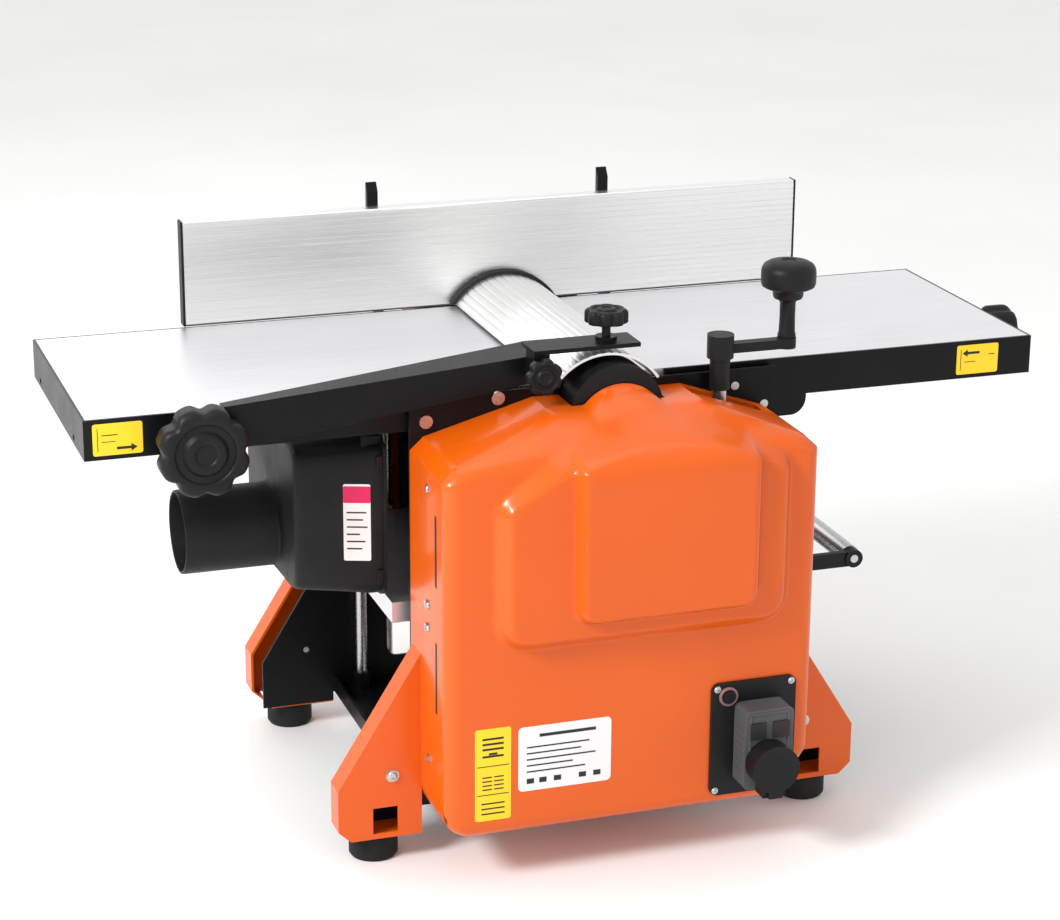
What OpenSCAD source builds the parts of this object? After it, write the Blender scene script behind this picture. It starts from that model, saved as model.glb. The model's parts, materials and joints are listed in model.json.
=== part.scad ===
/* [Tables] */
// Height of the planing tables above the floor
table_z = 442; // [436:1:450]
// Width of the planing tables
table_w = 273; // [270:1:275]
// Reach of the infeed table from the cutter axis
infeed_reach = 469; // [440:1:480]
// Reach of the outfeed table from the cutter axis
outfeed_reach = 451; // [430:1:470]
// Depth of the folded skirt round each table
skirt_depth = 37; // [35:1:38]

/* [Thicknesser] */
// Height of the thicknesser table at its lowest
bed_z = 237; // [230:1:240]
// Height that the thicknesser table can be raised
lift_travel = 147; // [120:1:147]
// Rise of the thicknesser table for one turn of the crank
screw_pitch = 3; // [2:0.5:4]

/* [Body] */
// Width of the orange housing
body_w = 356; // [350:2:360]
// Distance from the table centre line to the front of the housing
cover_front = 256; // [250:1:260]
// Outer half spread of the legs
leg_reach = 258; // [252:1:262]

/* [Fence] */
// Length of the fence
fence_len = 643; // [560:1:660]
// Height of the fence above the tables
fence_h = 104; // [95:1:110]

/* [Hidden] */
$fn = 48;

// Sheet and clearance
sheet = 3;
skin = 2.5;
gap = 0.3;
fit = 0.05;

// Planes of the frame, measured from the table centre line
web_in = 143;
web_out = web_in + sheet;
tray_in = web_out + 0.5;
tray_front = 184.5;
half_w = body_w / 2;
half_table = table_w / 2;
leg_front_y = 178.5;
leg_rear_y = 196.5;
foot_front_y = -152;
foot_rear_y = 172;
foot_x = 218;
foot_h = 26;
foot_r = 23;
leg_flange_top = foot_h + skin;
bolt_x = 206;
bolt_z = 88;
floor_plate_z = 40;
cover_screw_y = -200;
cover_screw_z = [240, 262];
low_screw = [-204, 112];

// Cutterblock
cutter_r = 25;
cutter_z = table_z - cutter_r;
cutter_half = 128;
journal_r = 8.5;
lip_gap = 31;
bearing_w = 10;
bearing_r = 21.5;
pulley_y0 = -178;
pulley_y1 = -162;
cutter_pulley_r = 25;
motor_pulley_r = 11;
motor_x = 33;
motor_y = [-272, -190];
motor_shaft_r = 6;
motor_z = cutter_z - 99;
belt_t = 4;

// Feed drive: three equal gear steps, then a chain to the rollers
gear_module = 1.25;
pinion_teeth = 10;
wheel_teeth = 50;
gear_span = gear_module * (pinion_teeth + wheel_teeth) / 2;
gear1_z = cutter_z - gear_span;
gear2_z = gear1_z - gear_span;
gear3_z = gear2_z - gear_span;
stage1_y = [160, 166];
stage2_y = [167, 173];
stage3_y = [174, 180];
chain_y = [184, 187];
axle_r = 3;
feed_sprocket_r = 16;
chain_t = 4;
roller_x = 58;
roller_z = table_z - 34;
roller_r = 17;
roller_half = 127;
roller_journal_r = 6;
pawl_x = 95;

// Thicknesser table and its lift
column_x = 150;
column_y = 133.5;
column_r = 6;
column_top = 397;
bed_half_x = 190;
bed_half_y = 126;
screw_x = 117;
screw_y = 158;
screw_r = 7;
screw_journal_r = 6;
sprocket_r = 16;
lift_chain_z = [30, 34];
nut_r = 11;
extension_x = 279;

// Crank
crank_z = 455;
crank_reach = 66;
crank_knob_r = 25.5;

// Guard
guard_half = 51;
guard_x = 1;
guard_z = table_z + 4;
guard_rise = 27;
guard_r = (guard_half * guard_half + guard_rise * guard_rise) / (2 * guard_rise);
guard_near_y = -172;
pivot_x = -346;
pivot_z = table_z - 18;
arm_end_x = -56;
bracket_z = guard_z + guard_rise + 4;
guard_knob = [5, -157];
side_knob = [-63, table_z + 17];

// Fence
fence_x0 = -323;
fence_y = 136;
fence_pivot_y = 168;
fence_pivot_z = table_z + 10;
fence_arm_x = [-128, 113];

// Cutter cap and top of the housing
cap_x = 8;
cap_z = 420;
cap_r = 44;
shoulder_z = 394;
gable_z = 430;
arch_r = 45;
arch_x = 10;
arch_z = 402;
cover_bottom = 50;
eaves_z = 408;
bulge_depth = 28;

// Knobs
depth_knob_x = -371;
depth_knob_z = table_z - 26;
end_knob_y = -28;
end_knob_len = 38;

// Dust hood
port_r = 40;
port_bore_r = 37;
port_z = 282;
port_end_x = -363;
hood_left_x = -272;
hood_mouth_x = -193;
hood_half_y = 120;
hood_end_y = 96;
hood_z = [238, 392];
hood_lip_y = 124;
hood_lip_z = [237, 396];
hood_clip_h = 24;
hood_inset = 12;

// Electrics on the front of the housing
switch_box = [[76, 62], [160, 174]];
switch_front = cover_front + 3;
body_front = switch_front + 26;
inlet_x = 122;
inlet_z = 103;
inlet_r = 22;
inlet_front = body_front + 18;
cap_t = 3.5;
cap_hinge_z = inlet_z - inlet_r - 3.5;

reset_place = [92, 161];
body_top = 154;
button_z = body_top - 20;
button_x = [111.5, 134.5];

// The frame stands with its footprint centred on the origin
x_low = -infeed_reach;
x_high = outfeed_reach + end_knob_len;
y_low = -(inlet_front + gap + cap_t);
y_high = leg_rear_y;
module placed() {
    translate([-(x_low + x_high) / 2, -(y_low + y_high) / 2, 0]) children();
}

// ---- shared helpers ----
module box(low, high) {
    translate(low) cube(high - low);
}

// An outline drawn in X and Z, as a plate from y0 to y1
module along_y(y0, y1) {
    translate([0, y1, 0]) rotate([90, 0, 0]) linear_extrude(y1 - y0) children();
}

// An outline drawn in Y and Z, as a bar from x0 to x1
module along_x(x0, x1) {
    translate([x0, 0, 0]) rotate([90, 0, 90]) linear_extrude(x1 - x0) children();
}

module rod_x(y, z, r, x0, x1) {
    translate([x0, y, z]) rotate([0, 90, 0]) cylinder(r = r, h = x1 - x0);
}

module rod_y(x, z, r, y0, y1) {
    translate([x, y0, z]) rotate([-90, 0, 0]) cylinder(r = r, h = y1 - y0);
}

module rod_z(x, y, r, z0, z1) {
    translate([x, y, z0]) cylinder(r = r, h = z1 - z0);
}

module rounded(low, high, r) {
    translate([low.x + r, low.y]) square([high.x - low.x - 2 * r, high.y - low.y]);
    translate([low.x, low.y + r]) square([high.x - low.x, high.y - low.y - 2 * r]);
    for (x = [low.x + r, high.x - r], y = [low.y + r, high.y - r]) translate([x, y]) circle(r);
}

module slot(x, z0, z1, r) {
    translate([x - r, z0]) square([2 * r, z1 - z0]);
    for (z = [z0, z1]) translate([x, z]) circle(r);
}

function arc(cx, cy, r, from, to, steps = 12) = [
    for (i = [0 : steps]) let (a = from + (to - from) * i / steps) [cx + r * cos(a), cy + r * sin(a)]
];

// A knob with round lobes, standing on z = 0
module lobed_knob(r, h, lobes, lobe_r) {
    difference() {
        cylinder(r = r, h = h);
        for (i = [0 : lobes - 1])
            rotate(360 / lobes * i) translate([r + lobe_r * 0.55, 0, -1]) cylinder(r = lobe_r, h = h + 2);
    }
    translate([0, 0, h]) cylinder(r = r * 0.62, h = h * 0.12);
}

// ---- frame ----
module base_plate() {
    color("dimgray") {
        difference() {
            union() {
                box([-half_w, -web_in, floor_plate_z], [half_w, web_in, floor_plate_z + sheet]);
                for (s = [-1, 1])
                    box([s * screw_x - 18, s > 0 ? -176 : web_in, floor_plate_z],
                        [s * screw_x + 18, s > 0 ? -web_in : 176, floor_plate_z + sheet]);
                for (x = [-column_x, column_x], y = [-column_y, column_y])
                    rod_z(x, y, column_r + 3, floor_plate_z + sheet, floor_plate_z + 22);
                for (s = [-1, 1])
                    rod_z(s * screw_x, -s * screw_y, screw_journal_r + 5, floor_plate_z, floor_plate_z + 10);
                for (s = [-1, 1])
                    box([s * half_w - (s > 0 ? sheet : 0), -web_in, floor_plate_z],
                        [s * half_w + (s > 0 ? 0 : sheet), web_in, floor_plate_z + 16]);
            }
            for (s = [-1, 1])
                box([s * 78 - 54, -104, floor_plate_z - 1], [s * 78 + 54, 104, floor_plate_z + sheet + 1]);
            for (x = [-column_x, column_x], y = [-column_y, column_y])
                rod_z(x, y, column_r, floor_plate_z - 1, floor_plate_z + 30);
            for (s = [-1, 1])
                rod_z(s * screw_x, -s * screw_y, screw_journal_r + fit, floor_plate_z - 1, floor_plate_z + 20);
        }
    }
}

// Outline of a side frame with its two legs, drawn in X and Z
module side_outline() {
    polygon([
        [-half_w, floor_plate_z - 2], [half_w, floor_plate_z - 2], [half_w, leg_flange_top],
        [leg_reach - 6, leg_flange_top], [leg_reach - 6, 78], [half_w, 198], [half_w, table_z - 4],
        [-half_w, table_z - 4], [-half_w, 198], [-leg_reach + 6, 78], [-leg_reach + 6, leg_flange_top],
        [-half_w, leg_flange_top]
    ]);
}

// side is -1 for the front frame and 1 for the rear one; the front screw stands right of the cutter
module side_frame(side) {
    y0 = side > 0 ? web_in : -web_out;
    color([0.12, 0.12, 0.13]) {
        along_y(y0, y0 + sheet) difference() {
            side_outline();
            translate([0, cutter_z]) circle(journal_r + 4);
            for (x = [-roller_x, roller_x]) translate([x, roller_z]) circle(roller_journal_r + fit);
            translate([pawl_x, roller_z]) circle(axle_r + fit);
            slot(-side * screw_x, bed_z - 25, column_top - 12, 13);
            for (p = infeed_bolt_places) slot(p.x, p.y - 3.4, p.y, 4.2);
            for (p = outfeed_bolt_places) translate(p) circle(4);
            translate([-side * screw_x - 18, 0]) square([36, floor_plate_z + sheet]);
            if (side > 0) rounded([-120, 70], [120, 188], 12);
            for (x = [-bolt_x, bolt_x]) translate([x, bolt_z]) circle(3);
        }
        if (side > 0) {
            gear_axle(gear1_z, stage1_y[0], stage2_y[1] + 1);
            gear_axle(gear2_z, stage2_y[0], stage3_y[1] + 1);
            gear_axle(gear3_z, stage3_y[0], chain_y[1] + 2);
        }
        // saddles that hold the tops of the guide columns
        for (x = [-column_x, column_x]) difference() {
            box([x - 9, side > 0 ? half_table + 0.5 : -web_in, column_top - 12],
                [x + 9, side > 0 ? web_in : -half_table - 0.5, column_top]);
            rod_z(x, side * column_y, column_r, column_top - 20, column_top + 5);
        }
    }
}

// A fixed pin that a reduction gear turns on, with the collar behind the gear
module gear_axle(z, wheel_y, end_y) {
    rod_y(0, z, axle_r, web_in, end_y);
    rod_y(0, z, axle_r + 1.5, web_out, wheel_y - gap);
}

module side_frame_front() {
    side_frame(-1);
}

module side_frame_rear() {
    side_frame(1);
}

infeed_bolt_places = [[-163, table_z - 26], [-95, table_z - 10]];
outfeed_bolt_places = [[138, table_z - 20], [168, table_z - 40]];

module guide_columns() {
    color("silver")
        for (x = [-column_x, column_x], y = [-column_y, column_y])
            rod_z(x, y, column_r, floor_plate_z, column_top);
}

// Outline of a leg plate on the right side, drawn in X and Z; d moves its outer edges inwards
function leg_outline(d) = [
    [half_w, foot_h], [leg_reach - 12 - d, foot_h], [leg_reach - d, foot_h + 11], [leg_reach - d, 78 - d * 0.3],
    [half_w, 206 - d * 1.9]
];

module leg(side_x, outer_y, inner_y) {
    low = min(outer_y, inner_y);
    high = max(outer_y, inner_y);
    face = outer_y > 0 ? [outer_y - skin, outer_y] : [outer_y, outer_y + skin];
    rim = outer_y > 0 ? [outer_y - 26, outer_y] : [outer_y, outer_y + 26];
    mirror([side_x < 0 ? 1 : 0, 0, 0]) {
        along_y(face[0], face[1]) difference() {
            polygon(leg_outline(0));
            translate([201, 31]) square([24, 26]);
            translate([bolt_x, bolt_z]) circle(3);
        }
        along_y(rim[0], rim[1]) difference() {
            polygon(leg_outline(0));
            polygon(concat([[half_w - 1, foot_h - 5]], leg_outline(skin), [[half_w - 1, 206 - skin * 1.9]]));
            translate([half_w - 2, foot_h - 5]) square([leg_reach - half_w - 12, 10]);
        }
        box([half_w, low, foot_h], [leg_reach - 16, high, leg_flange_top]);
    }
}

module leg_plates() {
    color([1, 0.38, 0.05])
        for (s = [-1, 1]) {
            leg(s, -leg_front_y, -127);
            leg(s, leg_rear_y, web_out);
        }
}

module rubber_feet() {
    color([0.08, 0.08, 0.08])
        for (x = [-foot_x, foot_x], y = [foot_front_y, foot_rear_y])
            translate([x, y, 0]) {
                rotate_extrude() polygon([
                    [0, 0], [foot_r - 2, 0], [foot_r, 3], [foot_r, foot_h - 3], [foot_r - 2, foot_h], [0, foot_h]
                ]);
            }
}

// ---- housing ----
// Outline of the housing seen from the front, drawn in X and Z, with its walls moved in by d
function housing(d) = concat(
    arc(-half_w + 26, cover_bottom + 26, 26 - d, 270, 180, 8),
    [[-half_w + d, shoulder_z - 4], [-half_w + 13, shoulder_z + 8 - d], [-62, gable_z - d]],
    arc(arch_x, arch_z, arch_r - d, 142, 38, 12),
    [[82, gable_z - d], [half_w - 13, shoulder_z + 8 - d], [half_w - d, shoulder_z - 4]],
    [[half_w - d, cover_bottom + 44], [half_w - 30, cover_bottom + d]]
);

module drive_tray() {
    color([1, 0.38, 0.05])
        difference() {
            along_y(-tray_front, -tray_in) polygon(housing(0));
            along_y(-tray_front - 1, -tray_in - skin) polygon(housing(skin));
            rod_y(0, cutter_z, bearing_r + 4, -tray_front - 1, 0);
            rod_z(screw_x, -screw_y, screw_r + 2, cover_bottom - 1, cover_bottom + skin + 1);
            box([cap_x - cap_r - 1, -tray_front - 1, cap_z - 2], [cap_x + cap_r + 1, 0, 500]);
            box([screw_x - 14, -tray_in - skin - 1, bed_z - 32], [screw_x + 14, 0, column_top]);
            box([screw_x - 36, -tray_front + 4, arch_z], [screw_x + 46, -tray_in - skin - 1, 500]);
        }
}

module bulge(low, high, depth, r, hollow) {
    along_y(-cover_front - depth, -cover_front + (hollow ? skin + 1 : 0))
        rounded(low + (hollow ? [skin, skin] : [0, 0]), high - (hollow ? [skin, skin] : [0, 0]), r);
}

// Side outline under the sloping top of the cover, drawn in Y and Z, moved inwards by d
module cover_roof(d) {
    lower = d * 1.15;
    back = -tray_front - 0.5 + (d > 0 ? 1 : 0);
    along_x(-half_w - 1, half_w + 1) polygon([
        [-cover_front - bulge_depth - 1, 0], [-cover_front - bulge_depth - 1, eaves_z - 10 - lower],
        [-cover_front, eaves_z - lower], [back, eaves_z + 39 - lower], [back, 0]
    ]);
}

module drive_cover() {
    over = eaves_z + 20;
    color([1, 0.38, 0.05])
        difference() {
            intersection() {
                union() {
                    along_y(-cover_front, -tray_front - 0.5) polygon(housing(0));
                    bulge([-122, 232], [150, over], bulge_depth / 2, 30, false);
                    bulge([-55, 254], [117, over], bulge_depth, 22, false);
                }
                cover_roof(0);
            }
            intersection() {
                union() {
                    along_y(-cover_front + skin, -tray_front) polygon(housing(skin));
                    bulge([-122, 232], [150, over], bulge_depth / 2 - skin, 28, true);
                    bulge([-55, 254], [117, over], bulge_depth - skin, 20, true);
                }
                cover_roof(skin);
            }
            along_y(-cover_front - 1, -cover_front + skin + 1)
                rounded(switch_box[0] + [6, 6], switch_box[1] - [6, 6], 4);
            for (z = [[167, 234], [287, 354]])
                box([-half_w - 1, -229, z[0]], [-half_w + skin + 1, -225, z[1]]);
        }
}

module cutter_cap() {
    color([0.16, 0.16, 0.17])
        difference() {
            rod_y(cap_x, cap_z, cap_r, -183.5, -tray_in);
            rod_y(cap_x, cap_z, cap_r - skin, -183.5 + skin, 0);
            box([-100, -200, 0], [100, 0, cap_z - 2]);
        }
}

module gear_cover() {
    top = table_z - 1;
    color([1, 0.38, 0.05])
        difference() {
            union() {
                box([-half_w, tray_in, 196], [half_w, 194, 396]);
                box([-86, tray_in, 396], [86, 194, top]);
            }
            box([-half_w + 2, 0, 198], [half_w - 2, 192, 394]);
            box([-84, 0, 300], [84, 192, top - 2]);
            rod_z(-screw_x, screw_y, screw_r + 2, 195, 199);
        }
}

module screw_head(x, y, z, r, h, side) {
    rod_y(x, z, r, side > 0 ? y : y - h, side > 0 ? y + h : y);
}

module frame_screws() {
    color("silver") {
        for (s = [-1, 1], p = outfeed_bolt_places) {
            rod_y(p.x, p.y, 4, s > 0 ? half_table - skin : -web_out, s > 0 ? web_out : -half_table + skin);
            rod_y(p.x, p.y, 8, s > 0 ? half_table : -web_in, s > 0 ? web_in : -half_table);
        }
        for (s = [-1, 1]) {
            rod_y(s * bolt_x, bolt_z, 3, -leg_front_y, -web_in);
            screw_head(s * bolt_x, -leg_front_y, bolt_z, 5.5, 2, -1);
            rod_y(s * bolt_x, bolt_z, 3, web_in, leg_rear_y);
            for (z = cover_screw_z)
                rod_x(cover_screw_y, z, 4, s > 0 ? half_w : -half_w - 2, s > 0 ? half_w + 2 : -half_w);
            rod_x(low_screw[0], low_screw[1], 3.5, s > 0 ? half_w : -half_w - 2, s > 0 ? half_w + 2 : -half_w);
        }
    }
}

// ---- planing tables ----
module table_top(x0, x1) {
    color("gainsboro")
        box([x0, -half_table + skin, table_z - 6], [x1, half_table - skin, table_z]);
}

// Folded skirt of a table from x0 to x1; open_end is the side that faces the cutter
module skirt(x0, x1, open_end) {
    z0 = table_z - skirt_depth;
    difference() {
        box([x0, -half_table, z0], [x1, half_table, table_z]);
        box([x0 + (open_end < 0 ? -1 : skin), -half_table + skin, z0 - 1],
            [x1 - (open_end > 0 ? -1 : skin), half_table - skin, table_z + 1]);
    }
}

module cross_rib(x) {
    box([x, -half_table + skin, table_z - skirt_depth + 4], [x + sheet, half_table - skin, table_z - 6]);
}

module infeed_top() {
    table_top(-infeed_reach + skin, -lip_gap);
}

module infeed_frame() {
    color([0.1, 0.1, 0.11]) {
        difference() {
            union() {
                skirt(-infeed_reach, -80, 1);
                for (x = [-310, -210, -84]) cross_rib(x);
                // block that the depth knob turns in
                box([depth_knob_x - 12, -half_table, depth_knob_z - 11],
                    [depth_knob_x + 12, -half_table + 22, table_z - 6]);
            }
            rod_y(depth_knob_x, depth_knob_z, 6 + fit, -half_table - 1, -half_table + 30);
            for (p = infeed_bolt_places) rod_y(p.x, p.y, 4, -200, 200);
            for (y = [-88, 94])
                box([-infeed_reach - 1, y, table_z - 33], [-infeed_reach + skin + 1, y + 8, table_z - 28]);
        }
        rod_y(pivot_x, pivot_z, 5, -155, -half_table);
    }
}

module infeed_bolts() {
    color("silver")
        for (s = [-1, 1], p = infeed_bolt_places) {
            rod_y(p.x, p.y, 4, s > 0 ? half_table - skin : -web_out - gap,
                s > 0 ? web_out + gap : -half_table + skin);
            rod_y(p.x, p.y, 7, s > 0 ? half_table : -web_in + gap, s > 0 ? web_in - gap : -half_table);
            screw_head(p.x, s * (web_out + gap), p.y, 6.2, 3.2, s);
        }
}

module depth_knob() {
    color([0.2, 0.2, 0.21]) {
        translate([depth_knob_x, -158, depth_knob_z]) rotate([90, 0, 0]) lobed_knob(41, 26, 8, 9);
        rod_y(depth_knob_x, depth_knob_z, 6, -158, -half_table + 20);
    }
}

module outfeed_top() {
    table_top(lip_gap, outfeed_reach - skin);
}

module outfeed_frame() {
    deep = 57;
    color([0.1, 0.1, 0.11])
        difference() {
            union() {
                skirt(71, outfeed_reach, -1);
                for (x = [120, 230, 340]) cross_rib(x);
                for (s = [-1, 1])
                    along_y(s > 0 ? half_table - skin : -half_table, s > 0 ? half_table : -half_table + skin)
                        rounded([71, table_z - deep], [215, table_z], 16);
                // block that the end knob turns in
                box([outfeed_reach - 22, end_knob_y - 11, table_z - 37],
                    [outfeed_reach, end_knob_y + 11, table_z - 6]);
            }
            rod_y(pawl_x, roller_z, axle_r + 2, -200, 200);
            box([column_x - 12, -200, table_z - deep - 1], [column_x + 12, 200, column_top + 3]);
            for (p = outfeed_bolt_places) rod_y(p.x, p.y, 4, -200, 200);
            rod_x(end_knob_y, depth_knob_z, 5 + fit, outfeed_reach - 30, outfeed_reach + 1);
        }
}

module outfeed_knob() {
    stand_off = 8;
    color([0.14, 0.14, 0.15]) {
        translate([outfeed_reach + stand_off, end_knob_y, depth_knob_z]) rotate([0, 90, 0])
            lobed_knob(26, (end_knob_len - stand_off) / 1.12, 7, 6);
        rod_x(end_knob_y, depth_knob_z, 5, outfeed_reach - 18, outfeed_reach + stand_off);
    }
}

// ---- cutterblock ----
// Gear outline: four points to a tooth, one tooth centred on the +X direction
function gear_points(teeth) = let (
    r = gear_module * teeth / 2,
    root = r - 1.15 * gear_module,
    tip = r + 0.85 * gear_module,
    pitch = 360 / teeth
) [
    for (i = [0 : teeth - 1], p = [[root, -0.33], [tip, -0.12], [tip, 0.12], [root, 0.33]])
        [p[0] * cos(pitch * (i + p[1])), p[0] * sin(pitch * (i + p[1]))]
];

// A gear about the Y axis through (0, z); turn is the direction of its first tooth
module gear(z, teeth, span, turn) {
    along_y(span[0], span[1]) translate([0, z]) rotate(turn) polygon(gear_points(teeth));
}

module cutterblock() {
    color("silver")
        difference() {
            union() {
                rod_y(0, cutter_z, cutter_r - 1.5, -cutter_half, cutter_half);
                rod_y(0, cutter_z, journal_r, -160, 158.5);
                rod_y(0, cutter_z, journal_r - 1.5, pulley_y0, -160);
                rod_y(0, cutter_z, 4.5, 158.5, stage1_y[1]);
                gear(cutter_z, pinion_teeth, stage1_y, -90);
            }
            for (a = [0, 180])
                translate([0, 0, cutter_z]) rotate([0, a, 0])
                    box([-9, -cutter_half - 1, 14], [3.5, cutter_half + 1, 40]);
        }
}

module planer_knives() {
    color("lightgray")
        for (a = [0, 180])
            translate([0, 0, cutter_z]) rotate([0, a, 0])
                box([0.5, -cutter_half, 14], [3.5, cutter_half, cutter_r - 0.3]);
}

module knife_clamps() {
    color("gray")
        for (a = [0, 180])
            translate([0, 0, cutter_z]) rotate([0, a, 0])
                box([-9, -cutter_half, 14], [0.5, cutter_half, 20.5]);
}

module cutter_pulley() {
    color("gray")
        difference() {
            rod_y(0, cutter_z, cutter_pulley_r, pulley_y0, pulley_y1);
            rod_y(0, cutter_z, journal_r - 1.5, pulley_y0 - 1, pulley_y1 + 1);
        }
}

module bearing_units() {
    color("gray")
        for (s = [-1, 1])
            difference() {
                rod_y(0, cutter_z, bearing_r, s > 0 ? web_out : -web_out - bearing_w,
                    s > 0 ? web_out + bearing_w : -web_out);
                rod_y(0, cutter_z, journal_r + fit, -200, 200);
            }
}

// ---- motor and belt ----
module motor_housing() {
    color([0.2, 0.2, 0.22]) {
        difference() {
            rod_y(motor_x, motor_z, 46, motor_y[0], motor_y[1]);
            rod_y(motor_x, motor_z, 30, motor_y[0] + 8, motor_y[1] - 8);
            rod_y(motor_x, motor_z, motor_shaft_r + fit, motor_y[0] - 1, motor_y[1] + 1);
        }
        for (a = [-15, -90, -165])
            rod_y(motor_x + 38 * cos(a), motor_z + 38 * sin(a), 5, motor_y[1], -tray_in - skin);
    }
}

module motor_rotor() {
    color("peru") {
        rod_y(motor_x, motor_z, motor_shaft_r, motor_y[0] + 2, pulley_y1);
        rod_y(motor_x, motor_z, 28.5, motor_y[0] + 18, motor_y[1] - 18);
        rod_y(motor_x, motor_z, motor_pulley_r, pulley_y0, pulley_y1);
    }
}

// Outline that a belt or chain makes round two wheels
module loop_outline(a, ra, b, rb) {
    hull() {
        translate(a) circle(ra, $fn = 64);
        translate(b) circle(rb, $fn = 64);
    }
}

module drive_belt() {
    color([0.06, 0.06, 0.06])
        along_y(pulley_y0 + 2, pulley_y1 - 2) difference() {
            loop_outline([motor_x, motor_z], motor_pulley_r + belt_t, [0, cutter_z], cutter_pulley_r + belt_t);
            loop_outline([motor_x, motor_z], motor_pulley_r + gap, [0, cutter_z], cutter_pulley_r + gap);
        }
}

// ---- feed drive ----
// A wheel in the plane of one stage with the pinion that drives the next stage
module stage_gear(z, wheel_y, pinion_y) {
    color("gray")
        difference() {
            union() {
                gear(z, wheel_teeth, wheel_y, 90 + 180 / wheel_teeth);
                gear(z, pinion_teeth, pinion_y, -90);
            }
            rod_y(0, z, axle_r + fit, 150, 200);
        }
}

module reduction_gear_1() {
    stage_gear(gear1_z, stage1_y, [stage1_y[1], stage2_y[1]]);
}

module reduction_gear_2() {
    stage_gear(gear2_z, stage2_y, [stage2_y[1], stage3_y[1]]);
}

module reduction_gear_3() {
    color("gray")
        difference() {
            union() {
                gear(gear3_z, wheel_teeth, stage3_y, 90 + 180 / wheel_teeth);
                rod_y(0, gear3_z, feed_sprocket_r, stage3_y[1], chain_y[1]);
            }
            rod_y(0, gear3_z, axle_r + fit, 150, 200);
        }
}

module three_wheel_outline(grow) {
    hull() {
        translate([0, gear3_z]) circle(feed_sprocket_r + grow, $fn = 64);
        for (x = [-roller_x, roller_x]) translate([x, roller_z]) circle(feed_sprocket_r + grow, $fn = 64);
    }
}

module feed_chain() {
    color([0.3, 0.3, 0.3])
        along_y(chain_y[0], chain_y[1]) difference() {
            three_wheel_outline(chain_t);
            three_wheel_outline(gap);
        }
}

module roller_shaft(x) {
    rod_y(x, roller_z, roller_journal_r, -web_out, chain_y[1] + 1);
    rod_y(x, roller_z, feed_sprocket_r, chain_y[0], chain_y[1]);
}

module toothed_roller() {
    teeth = 24;
    color("gray") {
        roller_shaft(roller_x);
        along_y(-roller_half, roller_half) translate([roller_x, roller_z]) polygon([
            for (i = [0 : teeth - 1], p = [[-1.4, 0], [0, 0.2], [0, 0.5], [-1.4, 0.7]])
                (roller_r + p[0]) * [cos(360 / teeth * (i + p[1])), sin(360 / teeth * (i + p[1]))]
        ]);
    }
}

module rubber_roller() {
    color([0.12, 0.12, 0.12]) {
        roller_shaft(-roller_x);
        rod_y(-roller_x, roller_z, roller_r, -roller_half, roller_half);
    }
}

module kickback_pawls() {
    color("gray") {
        rod_y(pawl_x, roller_z, axle_r, -web_out, web_out);
        for (i = [-6 : 6])
            along_y(i * 19 - 3, i * 19 + 3) union() {
                translate([pawl_x, roller_z]) circle(8);
                polygon([[pawl_x - 7, roller_z - 3], [pawl_x + 7, roller_z - 3], [pawl_x - 3, roller_z - 18],
                    [pawl_x - 8, roller_z - 19]]);
            }
    }
}

// ---- thicknesser table and lift ----
module thicknesser_table() {
    color("lightgray")
        difference() {
            union() {
                box([-bed_half_x, -bed_half_y, bed_z - 8], [bed_half_x, bed_half_y, bed_z]);
                for (x = [-bed_half_x, -60, 52, bed_half_x - 8])
                    box([x, -bed_half_y, bed_z - 20], [x + 8, bed_half_y, bed_z - 8]);
                for (y = [-bed_half_y, -4, bed_half_y - 8])
                    box([-bed_half_x, y, bed_z - 20], [bed_half_x, y + 8, bed_z - 8]);
                for (x = [-column_x, column_x], y = [-column_y, column_y]) {
                    rod_z(x, y, column_r + 3, bed_z - 24, bed_z);
                    box([x - 6, y > 0 ? bed_half_y - 8 : -column_y, bed_z - 20],
                        [x + 6, y > 0 ? column_y : -bed_half_y + 8, bed_z - 8]);
                }
            }
            for (x = [-column_x, column_x], y = [-column_y, column_y])
                rod_z(x, y, column_r + fit, bed_z - 40, bed_z + 5);
        }
}

module lift_nuts() {
    color("goldenrod")
        for (s = [-1, 1])
            difference() {
                union() {
                    rod_z(s * screw_x, -s * screw_y, nut_r, bed_z - 22, bed_z - 4);
                    box([s * screw_x - 9, s > 0 ? -screw_y : bed_half_y, bed_z - 20],
                        [s * screw_x + 9, s > 0 ? -bed_half_y : screw_y, bed_z - 9]);
                }
                rod_z(s * screw_x, -s * screw_y, screw_r + fit, 0, bed_z + 50);
            }
}

module extension_arms() {
    color([0.12, 0.12, 0.13])
        for (s = [-1, 1])
            difference() {
                union() {
                    box([bed_half_x, s * 120 - 3, bed_z - 18], [extension_x, s * 120 + 3, bed_z - 3]);
                    rod_y(extension_x, bed_z - 10, 9, s * 120 - 5, s * 120 + 5);
                }
                rod_y(extension_x, bed_z - 10, 4 + fit, -200, 200);
            }
}

module extension_roller() {
    color("silver") {
        rod_y(extension_x, bed_z - 10, 10, -114.5, 114.5);
        rod_y(extension_x, bed_z - 10, 4, -125, 125);
    }
}

module lead_screw(s, top) {
    rod_z(s * screw_x, -s * screw_y, screw_r, floor_plate_z + 10.5, top);
    rod_z(s * screw_x, -s * screw_y, screw_journal_r, lift_chain_z[0] - 2, floor_plate_z + 11);
    rod_z(s * screw_x, -s * screw_y, sprocket_r, lift_chain_z[0], lift_chain_z[1]);
}

module front_screw() {
    color("silver") lead_screw(1, crank_z + 14);
}

module rear_screw() {
    color("silver") lead_screw(-1, bed_z + lift_travel + 4);
}

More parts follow.
